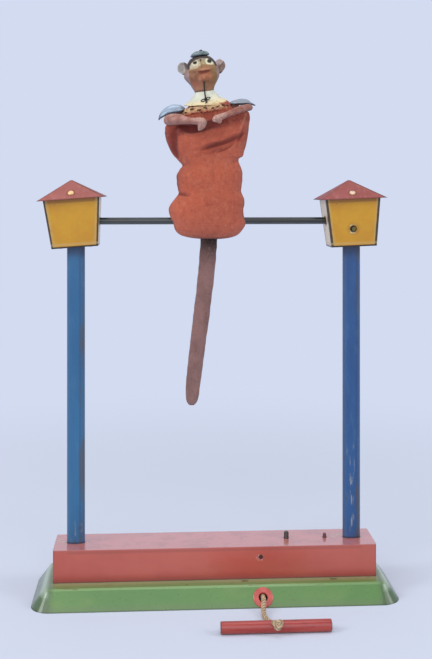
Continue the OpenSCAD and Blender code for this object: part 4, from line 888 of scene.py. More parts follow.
# ---------------------------------------------------------------- making pieces

dressed = set()


def make_piece(
    name, shape, material, stands_for=(), matrix=Matrix(), body="acrobat", levels=0, sheet=None
):
    """A mesh piece. shape is its points, in millimetres in the frame given by matrix, its faces and, where the
    material asks for it, how deep each point lies. sheet makes it SHEET thick: inwards at -1, both ways at 0."""
    points, faces, hollow = (*shape, None)[:3]
    mesh = bpy.data.meshes.new(name)
    mesh.from_pydata([matrix @ Vector(p) * MM for p in points], [], faces)
    if hollow:
        mesh.attributes.new("hollow", "FLOAT", "POINT").data.foreach_set("value", hollow)
    mesh.validate()
    mesh.materials.append(material)
    for face in mesh.polygons:
        face.use_smooth = True
    piece = link(name, mesh)
    if levels:
        subdivide = piece.modifiers.new("subdivision", "SUBSURF")
        subdivide.levels = subdivide.render_levels = levels
    if sheet is not None:
        thick = piece.modifiers.new("thickness", "SOLIDIFY")
        thick.thickness, thick.offset = SHEET * MM, sheet
    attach(piece, body)
    if stands_for:
        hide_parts(*stands_for)
        dressed.update(stands_for)
    return piece


def angles(count):
    return [2 * pi * k / count for k in range(count)]


def wave(*place):
    """Smooth noise about 0."""
    return noise.noise(Vector(place))


def clamp(value):
    return min(max(value, 0), 1)


def solid(rings, ends="capped"):
    """Points and faces of a skin over rings with the same number of points; ends are capped, open or joined."""
    n, last = len(rings[0]), len(rings) - 1
    pairs = [(i * n, i * n + n) for i in range(last)] + [(last * n, 0)] * (ends == "joined")
    faces = [(i + k, i + (k + 1) % n, j + (k + 1) % n, j + k) for i, j in pairs for k in range(n)]
    if ends == "capped":
        faces += [tuple(reversed(range(n))), tuple(range(last * n, last * n + n))]
    return [p for ring in rings for p in ring], faces


def turned(rows, count, place):
    """Rings round an axis: a ring for each row, its points given by place from the row and the angle."""
    return [[place(*row, a) for a in angles(count)] for row in rows]


def join_parts(parts):
    """One list of points and faces from several."""
    points, faces = [], []
    for part_points, part_faces, *_ in parts:
        faces += [tuple(i + len(points) for i in face) for face in part_faces]
        points += part_points
    return points, faces


def eased(rows, t):
    """Smooth value at t from rows of (place, value, ...), by a cubic through the rows."""
    rows = sorted(rows)
    if t <= rows[0][0]:
        return rows[0][1:]
    if t >= rows[-1][0]:
        return rows[-1][1:]
    i = max(k for k in range(len(rows) - 1) if rows[k][0] <= t)
    a, b = rows[i], rows[i + 1]
    before, after = rows[max(i - 1, 0)], rows[min(i + 2, len(rows) - 1)]
    h = b[0] - a[0]
    u = (t - a[0]) / h
    out = []
    for k in range(1, len(a)):
        slope_a = (b[k] - before[k]) / max(b[0] - before[0], 1e-6) * h
        slope_b = (after[k] - a[k]) / max(after[0] - a[0], 1e-6) * h
        out.append(
            (2 * u**3 - 3 * u**2 + 1) * a[k] + (u**3 - 2 * u**2 + u) * slope_a
            + (3 * u**2 - 2 * u**3) * b[k] + (u**3 - u**2) * slope_b
        )
    return out


def smooth_path(points, step):
    """Points a step apart along a smooth curve through the given points."""
    points = [Vector(p) for p in points]
    fine = []
    for i in range(len(points) - 1):
        p0, p1, p2, p3 = points[max(i - 1, 0)], points[i], points[i + 1], points[min(i + 2, len(points) - 1)]
        for u in (j / 12 for j in range(12)):
            at = 2 * p1 + (p2 - p0) * u + (2 * p0 - 5 * p1 + 4 * p2 - p3) * u**2
            fine.append(0.5 * (at + (3 * p1 - p0 - 3 * p2 + p3) * u**3))
    fine.append(points[-1])
    out, left = [fine[0]], step
    for a, b in zip(fine, fine[1:]):
        length = (b - a).length
        while length >= left > 0:
            a = a + (b - a) * (left / length)
            out.append(a)
            length = (b - a).length
            left = step
        left -= length
    if (out[-1] - fine[-1]).length > step * 0.3:
        out.append(fine[-1])
    else:
        out[-1] = fine[-1]
    return out


def frames_along(path):
    """Centre, side and up vectors along a path, without sudden turns."""
    side, out = None, []
    for i, p in enumerate(path):
        ahead = (path[min(i + 1, len(path) - 1)] - path[max(i - 1, 0)]).normalized()
        if side is None:
            side = ahead.cross(Vector((0, 0, 1) if abs(ahead.z) < 0.9 else (1, 0, 0))).normalized()
        side = (side - ahead * side.dot(ahead)).normalized()
        out.append((p, side, ahead.cross(side)))
    return out


# Share of a cord's radius that its core takes, and how uneven the cord is
CORE, FUZZ = 0.72, 0.03


def rope(points, diameter, plies=3, lay=6.0, step=0.5, sides=18):
    """A twisted cord: a tube with rounded plies that wind round it once in each lay. Also gives its path."""
    path = smooth_path(points, step)
    rings, hollow = [], []
    for i, (p, side, up) in enumerate(frames_along(path)):
        rings.append([])
        turn = 2 * pi * i * step / lay
        for k, a in enumerate(angles(sides)):
            ply = sqrt(abs(cos((a - turn) * plies / 2)))
            r = diameter / 2 * (CORE + (1 - CORE) * ply) * (1 + FUZZ * wave(i * 0.9, k * 1.7, diameter * 5))
            rings[-1].append(p + (side * cos(a) + up * sin(a)) * r)
            hollow.append(1 - ply**2)
    return *solid(rings), hollow, path


def tube(path, radii, sides=16, flat=1.0, shape=None):
    """A solid along a path; flat squeezes it along Y."""
    rings = []
    for i, (p, side, up) in enumerate(frames_along(path)):
        rings.append([])
        for a in angles(sides):
            r = radii[i] * (shape(i / (len(path) - 1), a) if shape else 1)
            v = (side * cos(a) + up * sin(a)) * r
            rings[-1].append(p + Vector((v.x, v.y * flat, v.z)))
    return solid(rings)


# ---------------------------------------------------------------- cords, as the source routes them

CORD_D = 3.0
CORD_EXIT = (27.7, -30.43, 5.0)
HANDLE_AT, HANDLE_R = Vector((31.2, -65.2, 3.45)), 3.5
HOLE_TILT = radians(34)
HOLE_DIR = Vector((0, -cos(HOLE_TILT), sin(HOLE_TILT)))
HOLE_MID = Vector((31.5, HANDLE_AT.y, HANDLE_AT.z))
CORD_ROUTE = [
    CORD_EXIT, (27.7, -32.43, 5.0), (27.4, -34.43, 4.8), (27, -37.5, 4), (26.5, -41, 3), (26.3, -44.5, 2.1),
    (26.6, -48, 1.7), (27.4, -51.5, 1.55), (28.8, -54.6, 1.52), (30.3, -57, 1.52), (31.2, -59, 1.52),
    (31.5, -60.6, 1.55), (31.5, -62.3, 1.82), HOLE_MID - HOLE_DIR * 1.45, HOLE_MID,
    HOLE_MID + HOLE_DIR * HANDLE_R,
]
# Drum: its place, the outer turn's radius, the turns of cord and how far apart they lie
DRUM_X, REEL_R, REEL_TURNS, REEL_PITCH = 45.4, 17.7, 2.5, 3.45


def make_cords():
    """The pull cord and its knot, the turns on the drum and the lead between them."""
    twine = twine_fibre("twine", (206, 184, 154), (182, 152, 122), (232, 216, 190))
    shape = rope(CORD_ROUTE, CORD_D, lay=7, step=0.4, sides=24)
    cord = make_piece("twine_cord", shape, twine, ["pull_cord"], body="pull")
    knot = make_knot(twine)
    path = shape[-1]
    length = sum((b - a).length for a, b in zip(path, path[1:])) * MM
    [list(p * MM) for p in path]
    steps = 24
    spiral = []
    for left in range(round(REEL_TURNS * steps), -1, -1):
        a = pi - 2 * pi * left / steps
        r = REEL_R - left * REEL_PITCH / steps
        spiral.append((DRUM_X + r * cos(a), r * sin(a), 5.0))
    spiral += [(DRUM_X - REEL_R, -y, 5.0) for y in (3.5, 7, 10.5)]
    lead = [(27.7, -10.8, 5), (27.7, -17, 5), (27.7, -23, 5), CORD_EXIT]
    for name, route, step, node, body in (
        ("twine_winding", spiral, 0.8, "cord_winding", "drum"), ("twine_lead", lead, 0.6, "cord_lead", "pull"),
    ):
        make_piece(name, rope(route, CORD_D, step=step, sides=12), twine, [node], body=body)


def make_knot(material):
    """A tight overhand knot in front of the handle, with a short frayed end."""
    out, side = HOLE_DIR, Vector((1, 0, 0))
    up = out.cross(side)
    middle = HOLE_MID + out * (HANDLE_R + 2.05)
    loop = []
    for t in angles(48) + [2 * pi]:
        a, b, c = sin(t) + 2 * sin(2 * t), cos(t) - 2 * cos(2 * t), -sin(3 * t)
        loop.append(middle + (side * a * 1.06 + up * b * 0.9) * 0.8 + out * c * 0.7)
    strand = rope(loop, 2.4, step=0.35, sides=14, lay=5)
    parts = [strand]
    random.seed(5)
    for _ in range(22):
        root = middle + side * 1.4 - up * 0.9 + out
        lean = side * random.uniform(0.1, 0.9) - up * random.uniform(0.2, 1.0) + out * random.uniform(0.2, 0.8)
        tip = root + lean.normalized() * random.uniform(0.9, 1.6)
        parts.append(tube([root, (root + tip) / 2 + out * 0.15, tip], [0.15, 0.12, 0.05], 5))
    points, faces = join_parts(parts)
    hollow = strand[2] + [0.0] * (len(points) - len(strand[2]))
    return make_piece("twine_knot", (points, faces, hollow), material, ["cord_knot"], body="pull")


# ---------------------------------------------------------------- the figure

# Gown: (height above the bar, left edge, right edge, half depth), as in the source
GOWN_OUTLINE = [
    (-11.4, -5, 7.5, 3), (-10.6, -12, 13.4, 7.5), (-9, -18, 17.6, 10.4), (-6, -21.4, 20.6, 12.2),
    (-2, -22.7, 22.8, 13), (2, -24.4, 22, 13), (6.5, -25.6, 21.5, 12.8), (10, -24.8, 22, 12.5),
    (13.4, -22.2, 22.1, 12), (17.3, -19.5, 20.4, 11.6), (20, -19.8, 20.1, 11.8), (24.5, -20.6, 20.7, 12.2),
    (29, -20.5, 20.9, 12.2), (32.5, -18.6, 20.4, 11.8), (35, -17.2, 19.2, 11.5), (38, -19.6, 18.4, 11.7),
    (39.6, -21.0, 19.0, 11.9), (40.5, -21.9, 21.0, 12.1), (42.5, -23.2, 21.7, 12.3), (46, -24.9, 23, 12.8),
    (52, -26.9, 24.4, 13), (58, -28, 25.2, 12.6), (61, -28, 25.6, 11.8), (63.4, -27.7, 25.4, 11.6),
    (64.9, -26, 24.6, 11.5), (66.1, -22.4, 22, 11.5), (67, -19, 18, 11.5), (68.4, -17, 15.2, 11.6),
    (70.5, -15.8, 14, 11.8), (72, -15.0, 13.2, 11.4), (73, -14.2, 12.2, 10.4), (74, -13, 11, 9),
]

# Lines of the folds in the cloth, as the photograph shows them: (across, height above the bar)
UNDER_ARMS = [
    (-20, 57.6), (-18.4, 56.1), (-12.1, 54.2), (-7, 55.2), (0.6, 57.1), (6.9, 59.3), (13.2, 60.2), (22, 62.2),
]
SLANT = [(-10, 42.6), (-2, 45.4), (3.7, 47), (10, 48.9), (16.4, 51.7), (22, 54.8)]
SLANT_LOW = [(2, 42.4), (9.4, 44.8), (15.1, 48.6), (18, 50.6)]
# Depth of the recess under the arms: (across, depth)
RECESS = [(-22, 2.6), (-14, 2.9), (-4, 2.7), (3, 1.7), (10, 1.0), (20, 0.7)]


def furrow(distance, width, depth=1.0):
    """A groove along the line where distance is 0."""
    return depth * exp(-((distance / width) ** 2))


def between(value, low, high, soft):
    """1 between low and high, 0 beyond them."""
    return 1 / (1 + exp(-(value - low) / soft)) / (1 + exp((value - high) / soft))


def gown_relief(x, z, front):
    """How far the cloth stands in (above 0) or out (below 0): its drape, and its folds on their own."""
    drape = 0.7 * wave(x / 13, z / 15, 3 if front else 9) + 0.35 * wave(x / 5, z / 8, 5 if front else 11)
    drape += 0.12 * wave(x / 1.8, z / 3.0, 7 if front else 13)
    if not front:
        pleats = 0.8 * sin(x / 2.6 + 0.05 * z) * between(z, -12, 50, 6)
        return drape, pleats * 0.6 + furrow(z - 34, 2.2)
    over = z - eased(UNDER_ARMS, x)[0]
    tall = 5.4 - 2.2 * clamp((x + 12) / 24)
    edge = -20.3 + 3.5 * (max(46 - z, 0) / 11) ** 1.3
    inside = 1 - clamp((edge - x) / 5.5)
    slant = z - eased(SLANT, x)[0]
    seam = x - 18.4 - (z - 56.1) * 0.4
    # Furrows, or ridges where the depth is below 0: distance from the line, width, depth, and where they run
    furrows = [
        (over + 2.0, 1.7, -0.9, x, -19, 18, 2),
        (x - edge - 1.5, 1.3, -0.9, z, 34, 58, 1.5),
        (slant, 1.5 if slant < 0 else 2.6, 2.7, x, -5, 21, 2.2),
        (slant - 5.0, 2.0, -1.0, x, -8, 21, 3),
        (slant + 3.2, 2.0, -0.6, x, -4, 19, 3),
        (z - eased(SLANT_LOW, x)[0], 1.0, 1.9, x, 3, 17, 1.8),
        (z - 34.7 - (x + 17.2) * 0.3, 1.0, 1.8, x, -24, -13, 1),
        (z - 37.4, 1.5, -0.5, x, -24, -12, 1.5),
        (z - 16.9 + (x + 19.4) * 0.18, 1.3, 2.3, x, -26, -13.2, 0.9),
        (z - 14.2, 1.6, -0.6, x, -26, -13.6, 1.5),
        (seam, 0.8, -0.45, z, 50, 66, 1.5),
        (seam - 1.9, 1.2, 0.9, z, 44, 66, 1.5),
        (z - 38.5 - (x - 18.3) * 0.5, 1.0, 1.2, x, 14, 24, 1),
        (z - 9.9 - x * 0.25, 0.7, 0.6, x, -3.4, 3, 0.7),
        (z - 8.8 + (x - 19.9) * 0.4, 1.1, 0.9, x, 15, 24, 1),
        (z + 3 - (x - 12) * 0.7, 1.2, 0.6, x, 10, 22, 1.5),
    ]
    depth = sum(furrow(*row[:3]) * between(*row[3:]) for row in furrows)
    depth += eased(RECESS, x)[0] * between(over, 0, tall, 0.45) * between(x, -20.5, 21, 0.7)
    depth += 3.8 * inside**0.7 * between(z, 39.5, 58, 1.0) / (1 + exp((x - edge) / 0.3))
    depth += 0.35 * sin(x * 1.9 + 0.4 * sin(z)) * between(z, 62, 74, 1.0)
    return drape, depth + 0.5 * sin(x * 1.1) * between(z, -14, -7.5, 0.8)


def make_gown():
    """The gown, a tube of thin cloth with its folds, and the strip sewn round its neck."""
    low, high = GOWN_OUTLINE[0][0], GOWN_OUTLINE[-1][0]
    rows, sides, square = 150, 220, 2.4
    rings, hollow = [], []
    for z in (low + (high - low) * i / rows for i in range(rows + 1)):
        left, right, depth = eased(GOWN_OUTLINE, z)
        middle, half = (left + right) / 2, (right - left) / 2
        shear = clamp((z - 40) / 22) * tan(radians(TILT))
        rings.append([])
        for a in angles(sides):
            full = (abs(cos(a)) ** square + abs(sin(a)) ** square) ** (-1 / square)
            x, y = half * cos(a) * full, depth * sin(a) * full
            up = z + shear * (middle + x - NECK_X)
            room = min(1, abs(y) / 4) * between(z, -11, 73, 0.5)
            drape, folds = gown_relief(middle + x, up, y < 0)
            y -= copysign(min((drape + folds) * room, abs(y) * 0.7), y)
            x += 0.25 * wave(z / 3, y / 6, 2)
            rings[-1].append((x + middle, y, up))
            hollow.append(folds * room / 3)
    shape = (*solid(rings, "open"), hollow)
    gown = make_piece("cloth_gown", shape, gown_cloth(), ["gown"], FIGURE, sheet=-1)
    border = make_border()


# Neck strip: (height above the shoulder frame, half width, half depth); its section: (share of its height, out)
STRIP = [(-1.5, 16.9, 12.4), (0, 15.9, 12.3), (1.5, 15.3, 12.4), (3, 14.3, 12.0), (4, 13.2, 11.0)]
STRIP_SECTION = [
    (0.0, 0.1), (0.05, 0.45), (0.3, 0.6), (0.6, 0.6), (0.95, 0.5), (1.0, 0.1), (0.6, -0.1), (0.3, -0.1),
]


def on_strip(a, z, out):
    """The point out from the neck strip's surface at that angle and height."""
    half_x, half_y = eased(STRIP, z)
    return Vector(((half_x + out) * cos(a) - 0.4, (half_y + out) * sin(a), z))


def make_border():
    """Frayed beige strip round the neck of the gown, sewn on with dark thread."""

    def reddened(g):
        height = g.z + g.shake(4.5, 1.1, 3, stretch=(1, 1, 0.3), shift=6)
        g.lay(g.cloud(0.5, 0.6, 1.7, shift=9) * 0.6, 188, 124, 88)
        g.lay(g.cloud(0.6, 0.66, 0.8, 3, shift=13) * 0.6, 98, 62, 44)
        g.lay(g.span(height, 1.1, -0.9) * 0.9, 184, 96, 72)

    def fray(a, share, out):
        c, s = cos(a), sin(a)
        low = -0.9 + 0.8 * wave(c * 14, s * 14, 1)
        z = low + (3.5 + 0.5 * wave(c * 9, s * 9, 4) - low) * share
        return on_strip(a, z, out + (0.25 * wave(c * 12, s * 12, z) if out > 0.3 else 0))

    beige = felt("beige_strip", (216, 186, 144), (188, 150, 108), (236, 214, 176), 0.5, SHOULDER, reddened)
    thread = felt("brown_thread", (104, 64, 40), (78, 46, 32), (140, 96, 64), 0.4)
    random.seed(11)
    count, hairs, stitches = 110, 230, 24
    rings = [[fray(2 * pi * k / count, *spot) for spot in STRIP_SECTION] for k in range(count + 1)]
    parts = [solid(rings, "open")]
    for _ in range(hairs):
        a = random.uniform(0, 2 * pi)
        z = random.choice((random.uniform(-1.2, 0.2), random.uniform(2.6, 3.6), random.uniform(0, 3)))
        root = on_strip(a, z, 0.4)
        lean = Vector((cos(a) * 0.6, sin(a) * 0.6, random.uniform(-1.6, 0.7))).normalized()
        tip = root + lean * random.uniform(0.6, 1.5)
        parts.append(tube([root, (root + tip) / 2 + Vector((0, 0, 0.15)), tip], [0.2, 0.16, 0.06], 5))
    border = make_piece("neck_border", join_parts(parts), beige, (), SHOULDER)
    parts = []
    for i in range(stitches):
        a = 2 * pi * (i + 0.5 + random.uniform(-0.35, 0.35)) / stitches
        z = 1.5 + random.uniform(-0.8, 0.8)
        way = Vector((-sin(a), cos(a), random.uniform(-0.35, 0.35))).normalized()
        at, out = on_strip(a, z, 0.75), Vector((cos(a), sin(a), 0))
        half = random.uniform(0.6, 1.35)
        arch = ((-1, -0.35), (-0.5, 0.3), (0.5, 0.3), (1, -0.35))
        stitch = [at + way * half * along + out * rise for along, rise in arch]
        thick = random.uniform(0.75, 1.2)
        parts.append(tube(stitch, [r * thick for r in (0.3, 0.5, 0.5, 0.3)], 7))
    make_piece("neck_stitches", join_parts(parts), thread, (), SHOULDER)
    return border


HEAD_PROFILE = [
    (0, 6.35), (1.0, 6.6), (2.2, 7.1), (4.8, 8.3), (7.4, 9.4), (10.6, 10.0), (14, 9.8), (17, 9.0), (19.4, 7.5),
    (21.0, 5.4), (21.6, 2.0),
]
# Height, outer left, outer right: how far the jaw stands out beyond the turned shape
JAW = [
    (-1, -0.3, -0.2), (3, 0.3, 0.0), (6, 0.9, 0.4), (9, 2.0, 0.8), (11.5, 1.6, 0.7), (14.5, 0.5, 0.2),
    (18, 0, 0),
]
# Relief of the face: (across, width, height, half height, how far it stands out)
FACE = [
    (0, 5.4, 7.8, 5.0, 1.25), (0.7, 4.2, 12.0, 1.0, 0.5), (0.4, 4.0, 7.8, 1.4, 0.5), (0, 7.5, 19.4, 0.9, 0.35),
    (-4.7, 2.8, 16.4, 2.2, -0.6), (-4.7, 1.2, 17.1, 1.1, 0.5),
    (4.6, 2.8, 16.4, 2.2, -0.6), (4.6, 1.2, 17.1, 1.1, 0.5),
]


def make_head():
    """Turned head with a muzzle, a mouth line, lips, brow and eye hollows."""

    def aside(z):
        return -0.5 - 0.6 * clamp(1 - z / 6)

    def foot(z, radius, a):
        return radius * cos(a) + aside(z), radius * sin(a), z

    def face(z, a):
        radius = eased(HEAD_PROFILE, max(z, 0))[0] + 0.25 * min(z, 0)
        x, y = radius * cos(a), radius * sin(a)
        facing = max(0.0, -sin(a)) ** 2
        bulge = sum(furrow(x - x0, wide) * furrow(z - z0, high, out) for x0, wide, z0, high, out in FACE)
        bulge -= furrow(x, 4.0) * furrow(z - 10.2 - 0.055 * x * x, 0.8, 0.8)
        bulge += furrow(x + 1.1, 0.7) * between(z, 12.5, 19, 0.8) * 0.35
        grow = 1 + (bulge * facing + 0.22 * wave(x / 2.5, y / 2.5, z / 2.5)) / radius
        out_left, out_right = eased(JAW, z)
        x = x * grow + (out_right if x > 0 else -out_left) * abs(cos(a)) ** 3
        return x + aside(z), y * grow, z - 0.5 * facing * furrow(z + 0.5, 1.6)

    heights = [-0.5 + 21.8 * i / 60 for i in range(61)] + [21.5, 21.6]
    rings = turned([(0.1, 5.95), (-0.35, 6.05)], 90, foot) + turned([(z,) for z in heights], 90, face)
    make_piece("painted_head", solid(rings), head_paint(), ["head"], HEAD)


EAR_PROFILE = [
    (0.0, 0.9), (0.45, 1.0), (0.8, 0.6), (0.96, 0.0), (1.0, -0.5), (0.96, -0.95), (0.8, -0.85), (0.62, 0.1),
    (0.3, 0.4), (0.0, 0.5),
]


def make_ear(side, at, wide, high, turn, taper, material):
    """A cupped leather ear with a rolled rim, narrower below."""

    def place(share, y, a):
        r = max(share, 0.02) * (1 + 0.06 * wave(cos(a) * 2, sin(a) * 2, wide))
        narrow = 1 - taper * max(0.0, -sin(a)) ** 1.2
        return wide * r * cos(a) * narrow, y, high * r * sin(a)

    matrix = HEAD @ Matrix.Translation(at) @ Matrix.Rotation(radians(turn), 4, "Y")
    shape = solid(turned(EAR_PROFILE, 36, place))
    make_piece(f"{side}_ear_cup", shape, material, [f"{side}_ear"], matrix, levels=1)


def make_ears():
    def left_shade(g):
        # Painted shade on the side of the ear towards the head, and on its lower part
        g.lay(g.span(g.x + g.z * 0.1, -9.9, -8.7) * 0.85, 88, 72, 70)
        g.lay(g.span(g.z, 12.8, 11.6) * 0.85, 70, 64, 64)

    def right_shade(g):
        # Painted shade on the lower part, in the hollow, towards the head and on the lower lobe
        g.lay(g.span(g.z - g.x * 0.3, 12.2, 10.6) * 0.75, 128, 100, 90)
        g.lay(g.near(g.z - g.x, 2.4, 1.2) * 0.4, 94, 70, 62)
        g.lay(g.span(g.x, 9.9, 8.9) * g.span(g.z, 15.4, 13.6) * 0.7, 92, 66, 58)
        g.lay(g.span(g.z, 10.6, 9.6) * 0.85, 60, 50, 50)

    left = felt("ear_leather_left", (192, 186, 180), (164, 156, 150), (208, 204, 200), 0.5, HEAD, left_shade)
    right = felt("ear_leather_right", (206, 188, 184), (178, 150, 142), (216, 204, 204), 0.5, HEAD, right_shade)
    make_ear("left", (-12.0, 0.5, 15.3), 3.9, 4.4, -14, 0.45, left)
    make_ear("right", (10.9, 0.5, 13.6), 3.7, 4.8, 10, 0.5, right)


CAP_PROFILE = [
    (0.2, 21.7), (4.4, 21.7), (5.6, 21.75), (6.0, 22.05), (6.05, 22.4), (5.7, 22.8), (5.2, 23.2), (4.4, 23.9),
    (3.3, 24.5), (2.0, 24.8), (0.9, 24.9), (0.2, 24.9),
]
BUTTON_PROFILE = [(0.15, 24.4), (1.0, 24.5), (1.1, 25.0), (0.9, 25.45), (0.4, 25.68), (0.1, 25.7)]


def make_cap():
    """A soft cloth cap: a brim roll, a lumpy crown and a dark button."""

    def brim(g):
        g.lay(g.cloud(0.5, 0.62, 1.8, 3, shift=4) * 0.5, 150, 172, 172)
        # Painted shade along the lower edge of the brim roll
        g.lay(g.span(g.z - g.x * 0.05, 22.4, 21.8) * 0.2, 62, 66, 68)

    def lumpy(r, z, a):
        fold = lump = 0
        if z > 22.8:
            fold = (0.1 * sin(5 * a + 0.7) + 0.06 * sin(9 * a)) * min(1, r / 3)
            lump = 0.5 * wave(r * cos(a) / 2.6, r * sin(a) / 2.6, 4) * min(1, r / 2)
        return r * cos(a) * (1 + fold) - 0.4 - 0.1 * (z - 21.7), r * sin(a) * (1 + fold), z + lump

    def smooth(r, z, a):
        return r * cos(a) + 0.6, r * sin(a), z

    cloth = felt("cap_cloth", (124, 140, 146), (90, 104, 110), (158, 168, 166), 0.6, HEAD, brim)
    dark = felt("cap_button", (66, 70, 70), (50, 54, 56), (98, 100, 98), 0.5, HEAD)
    make_piece("cloth_cap", solid(turned(CAP_PROFILE, 48, lumpy)), cloth, ["cap"], HEAD)
    make_piece("cap_button", solid(turned(BUTTON_PROFILE, 20, smooth)), dark, (), HEAD)


COLLAR_PROFILE = [
    (13.4, 4.9), (13.7, 5.3), (13.2, 6.1), (11.6, 7.0), (9.7, 8.3), (8.2, 9.8), (6.7, 11.6), (5.7, 12.95),
    (5.3, 13.1), (4.9, 12.6), (6.0, 11.2), (7.5, 9.5), (9.2, 7.9), (11.2, 6.5), (12.8, 5.4),
]


def make_collar():
    """A flared collar of thin card: its front droops over the strip, and it has a ragged edge."""

    def place(r, z, a):
        flare = max(0.0, (r - 6) / 7.5)
        droop = 2.2 * max(0.0, -sin(a)) ** 1.2
        ruffle = 0.35 * sin(3 * a + 1) + 0.2 * sin(7 * a)
        ragged = (0.9 * wave(cos(a) * 14, sin(a) * 14, 3) + 0.5 * sin(4.3 * a + 2)) * flare**4
        r += (ruffle + 0.6 * ragged) * flare
        lean = 0.75 * cos(a) + 0.1
        return r * cos(a), r * sin(a) * 0.98, z + ragged * 0.5 + (0.3 * ruffle - droop - lean) * flare

    shape = solid(turned(COLLAR_PROFILE, 120, place), "joined")
    make_piece("card_collar", shape, card(), ["collar"], SHOULDER, levels=1)


# Arms, from the shoulder to the elbow and on to the palm: (across, depth, height, radius)
ARMS = {
    "left": [
        (-20.3, 0, -1, 2.1), (-22.5, 0, -1.2, 2.6), (-24.2, -1.4, -1.9, 3.2), (-24.9, -5.6, -2.2, 3.4),
        (-23.8, -9, -2.3, 3.5), (-21.2, -12.6, -2.6, 3.5), (-17.6, -15.0, -3.5, 3.1), (-15, -16.2, -4.6, 2.4),
        (-11, -17.4, -5.6, 2.0), (-6.8, -18, -6.4, 2.3), (-4.2, -18, -7.0, 2.1), (-2.7, -18, -7.5, 0.9),
    ],
    "right": [
        (20.3, 0, -1.2, 1.9), (22.5, 0, -1.5, 2.0), (25, -0.8, -1.8, 1.9), (26.2, -3, -1.9, 1.9),
        (26.2, -6.4, -1.9, 2.0), (24.4, -10, -1.9, 2.1), (20, -14, -2.6, 2.2), (14, -16.6, -4.0, 1.9),
        (9, -17.6, -5.2, 1.8), (5.4, -18, -6.1, 2.1), (2.8, -18, -6.8, 2.0), (1.2, -18, -7.2, 0.8),
    ],
}


# Side of the arm, its two colours, and where its thumb starts, goes and bends to, with the thumb's radius
HANDS = {
    "left": (-1, (188, 140, 130), (156, 104, 92), -5.2, (-3.2, -0.3, -5.3), (0.7, -0.2, 0), 2.7),
    "right": (1, (168, 112, 98), (134, 82, 70), 4.6, (1.3, -0.3, -3.2), (-0.3, -0.2, 0), 2.1),
}


def make_arm(name):
    """A stuffed arm that ends in a mitten hand with a thumb."""
    sign, ground, blotch, thumb_x, thumb, bend, thumb_r = HANDS[name]

    def worn(g):
        hand = g.span(g.x * sign, 11.5, 8)
        g.lay(hand * 0.65, 204, 166, 154)
        g.lay(g.cloud(0.5, 0.62, 1.5, stretch=(0.2, 1, 1), shift=17) * 0.4, 134, 94, 82)
        g.lay(hand * g.cloud(0.55, 0.64, 1.1, shift=13) * 0.7, 132, 94, 80)
        g.lay(hand * g.cloud(0.58, 0.66, 1.2, shift=19) * 0.6, 228, 204, 190)
        g.lay(g.span(g.z - g.x * sign * 0.18, -6.6, -8.4) * 0.4, 120, 78, 76)

    def shape(t, a):
        crease = 0.06 * wave(t * 22, cos(a) * 2, sign)
        return 1 + crease + 0.1 * cos(5 * a) * clamp((t - 0.88) / 0.05)

    mauve = felt(f"{name}_felt_arm_felt", ground, blotch, (212, 176, 164), 0.7, SHOULDER, worn)
    route = ARMS[name]
    path = smooth_path([p[:3] for p in route], 0.6)
    marks = [(min(range(len(path)), key=lambda i: (path[i] - Vector(p)).length), r) for *p, r in route]
    arm = tube(path, [eased(marks, i)[0] for i in range(len(path))], 24, 1.0, shape)
    hand = min(path, key=lambda p: abs(p.x - thumb_x) + (10 if p.y > -12 else 0))
    way = Vector(thumb)
    thumb_path = smooth_path([hand + Vector((0, 0, 0.4)), hand + way * 0.5 + Vector(bend), hand + way], 0.6)
    last = len(thumb_path) - 1
    radii = [thumb_r * (1 - (i / last) ** 2.4) + 0.35 for i in range(last + 1)]
    parts = join_parts([arm, tube(thumb_path, radii, 14)])
    make_piece(f"{name}_felt_arm", parts, mauve, [f"{name}_arm"], SHOULDER, levels=1)


# Shoulder plates, from the outer tip inwards: (across, crest height, rim height, half depth)
PLATES = {
    "left": [
        (-31.1, -0.7, -0.9, 0.4), (-30, 2.2, 0.0, 2.6), (-27, 5.3, 1.3, 4.6), (-23.3, 6.9, 2.1, 6.6),
        (-20, 7.3, 2.1, 7.0), (-16.6, 6.4, 2.3, 6.4), (-14.8, 5.2, 2.7, 5.0), (-13.9, 4.2, 3.3, 3.2),
    ],
    "right": [
        (30.6, -0.7, -0.9, 0.4), (28.4, 1.2, 0.3, 2.6), (25.8, 3.6, 0.9, 4.4), (21.6, 4.6, 1.3, 6.4),
        (17.7, 4.2, 1.7, 6.4), (15.2, 3.5, 2.3, 5.0), (14.2, 3.1, 2.5, 3.4),
    ],
}


def make_plates():
    """Domed leaf-shaped shoulder plates with a drooping rim."""
    enamel = plate_blue()
    steps, across = 34, 22
    n = across + 1
    faces = [(k, k + 1, k + n + 1, k + n) for i in range(steps) for k in range(i * n, i * n + across)]
    for side, rows in PLATES.items():
        sign = -1 if side == "left" else 1
        rows = sorted((sign * x, *sizes) for x, *sizes in rows)
        low, high = rows[0][0], rows[-1][0]
        points, hollow = [], []
        for along in (high - (high - low) * i / steps for i in range(steps + 1)):
            crest, rim, half = eased(rows, along)
            for share in (-1 + 2 * k / across for k in range(n)):
                z = crest - (crest - rim) * abs(share) ** 2.2 + 0.12 * wave(along / 3, share * 3, sign)
                points.append((sign * along, half * share, z))
                hollow.append(share**2)
        shape, node = (points, faces, hollow), f"{side}_epaulette"
        make_piece(f"{side}_shoulder_plate", shape, enamel, [node], SHOULDER, sheet=0)


# Tail: (across, share of the length), and widths as shares of the full width
TAIL_ROUTE = [
    (0, 0.0), (0, 0.05), (-1.2, 0.2), (-2.9, 0.35), (-4.9, 0.5), (-7, 0.65), (-9, 0.8), (-10.1, 0.9),
    (-10.6, 0.955), (-10.8, 0.985), (-10.8, 1.0),
]
TAIL_WIDTHS = [1, 1, 0.98, 0.97, 0.96, 0.93, 0.88, 0.84, 0.76, 0.58, 0.3]
TAIL_LEN, TAIL_W, TAIL_FLAT = 110, 10.6, 0.68


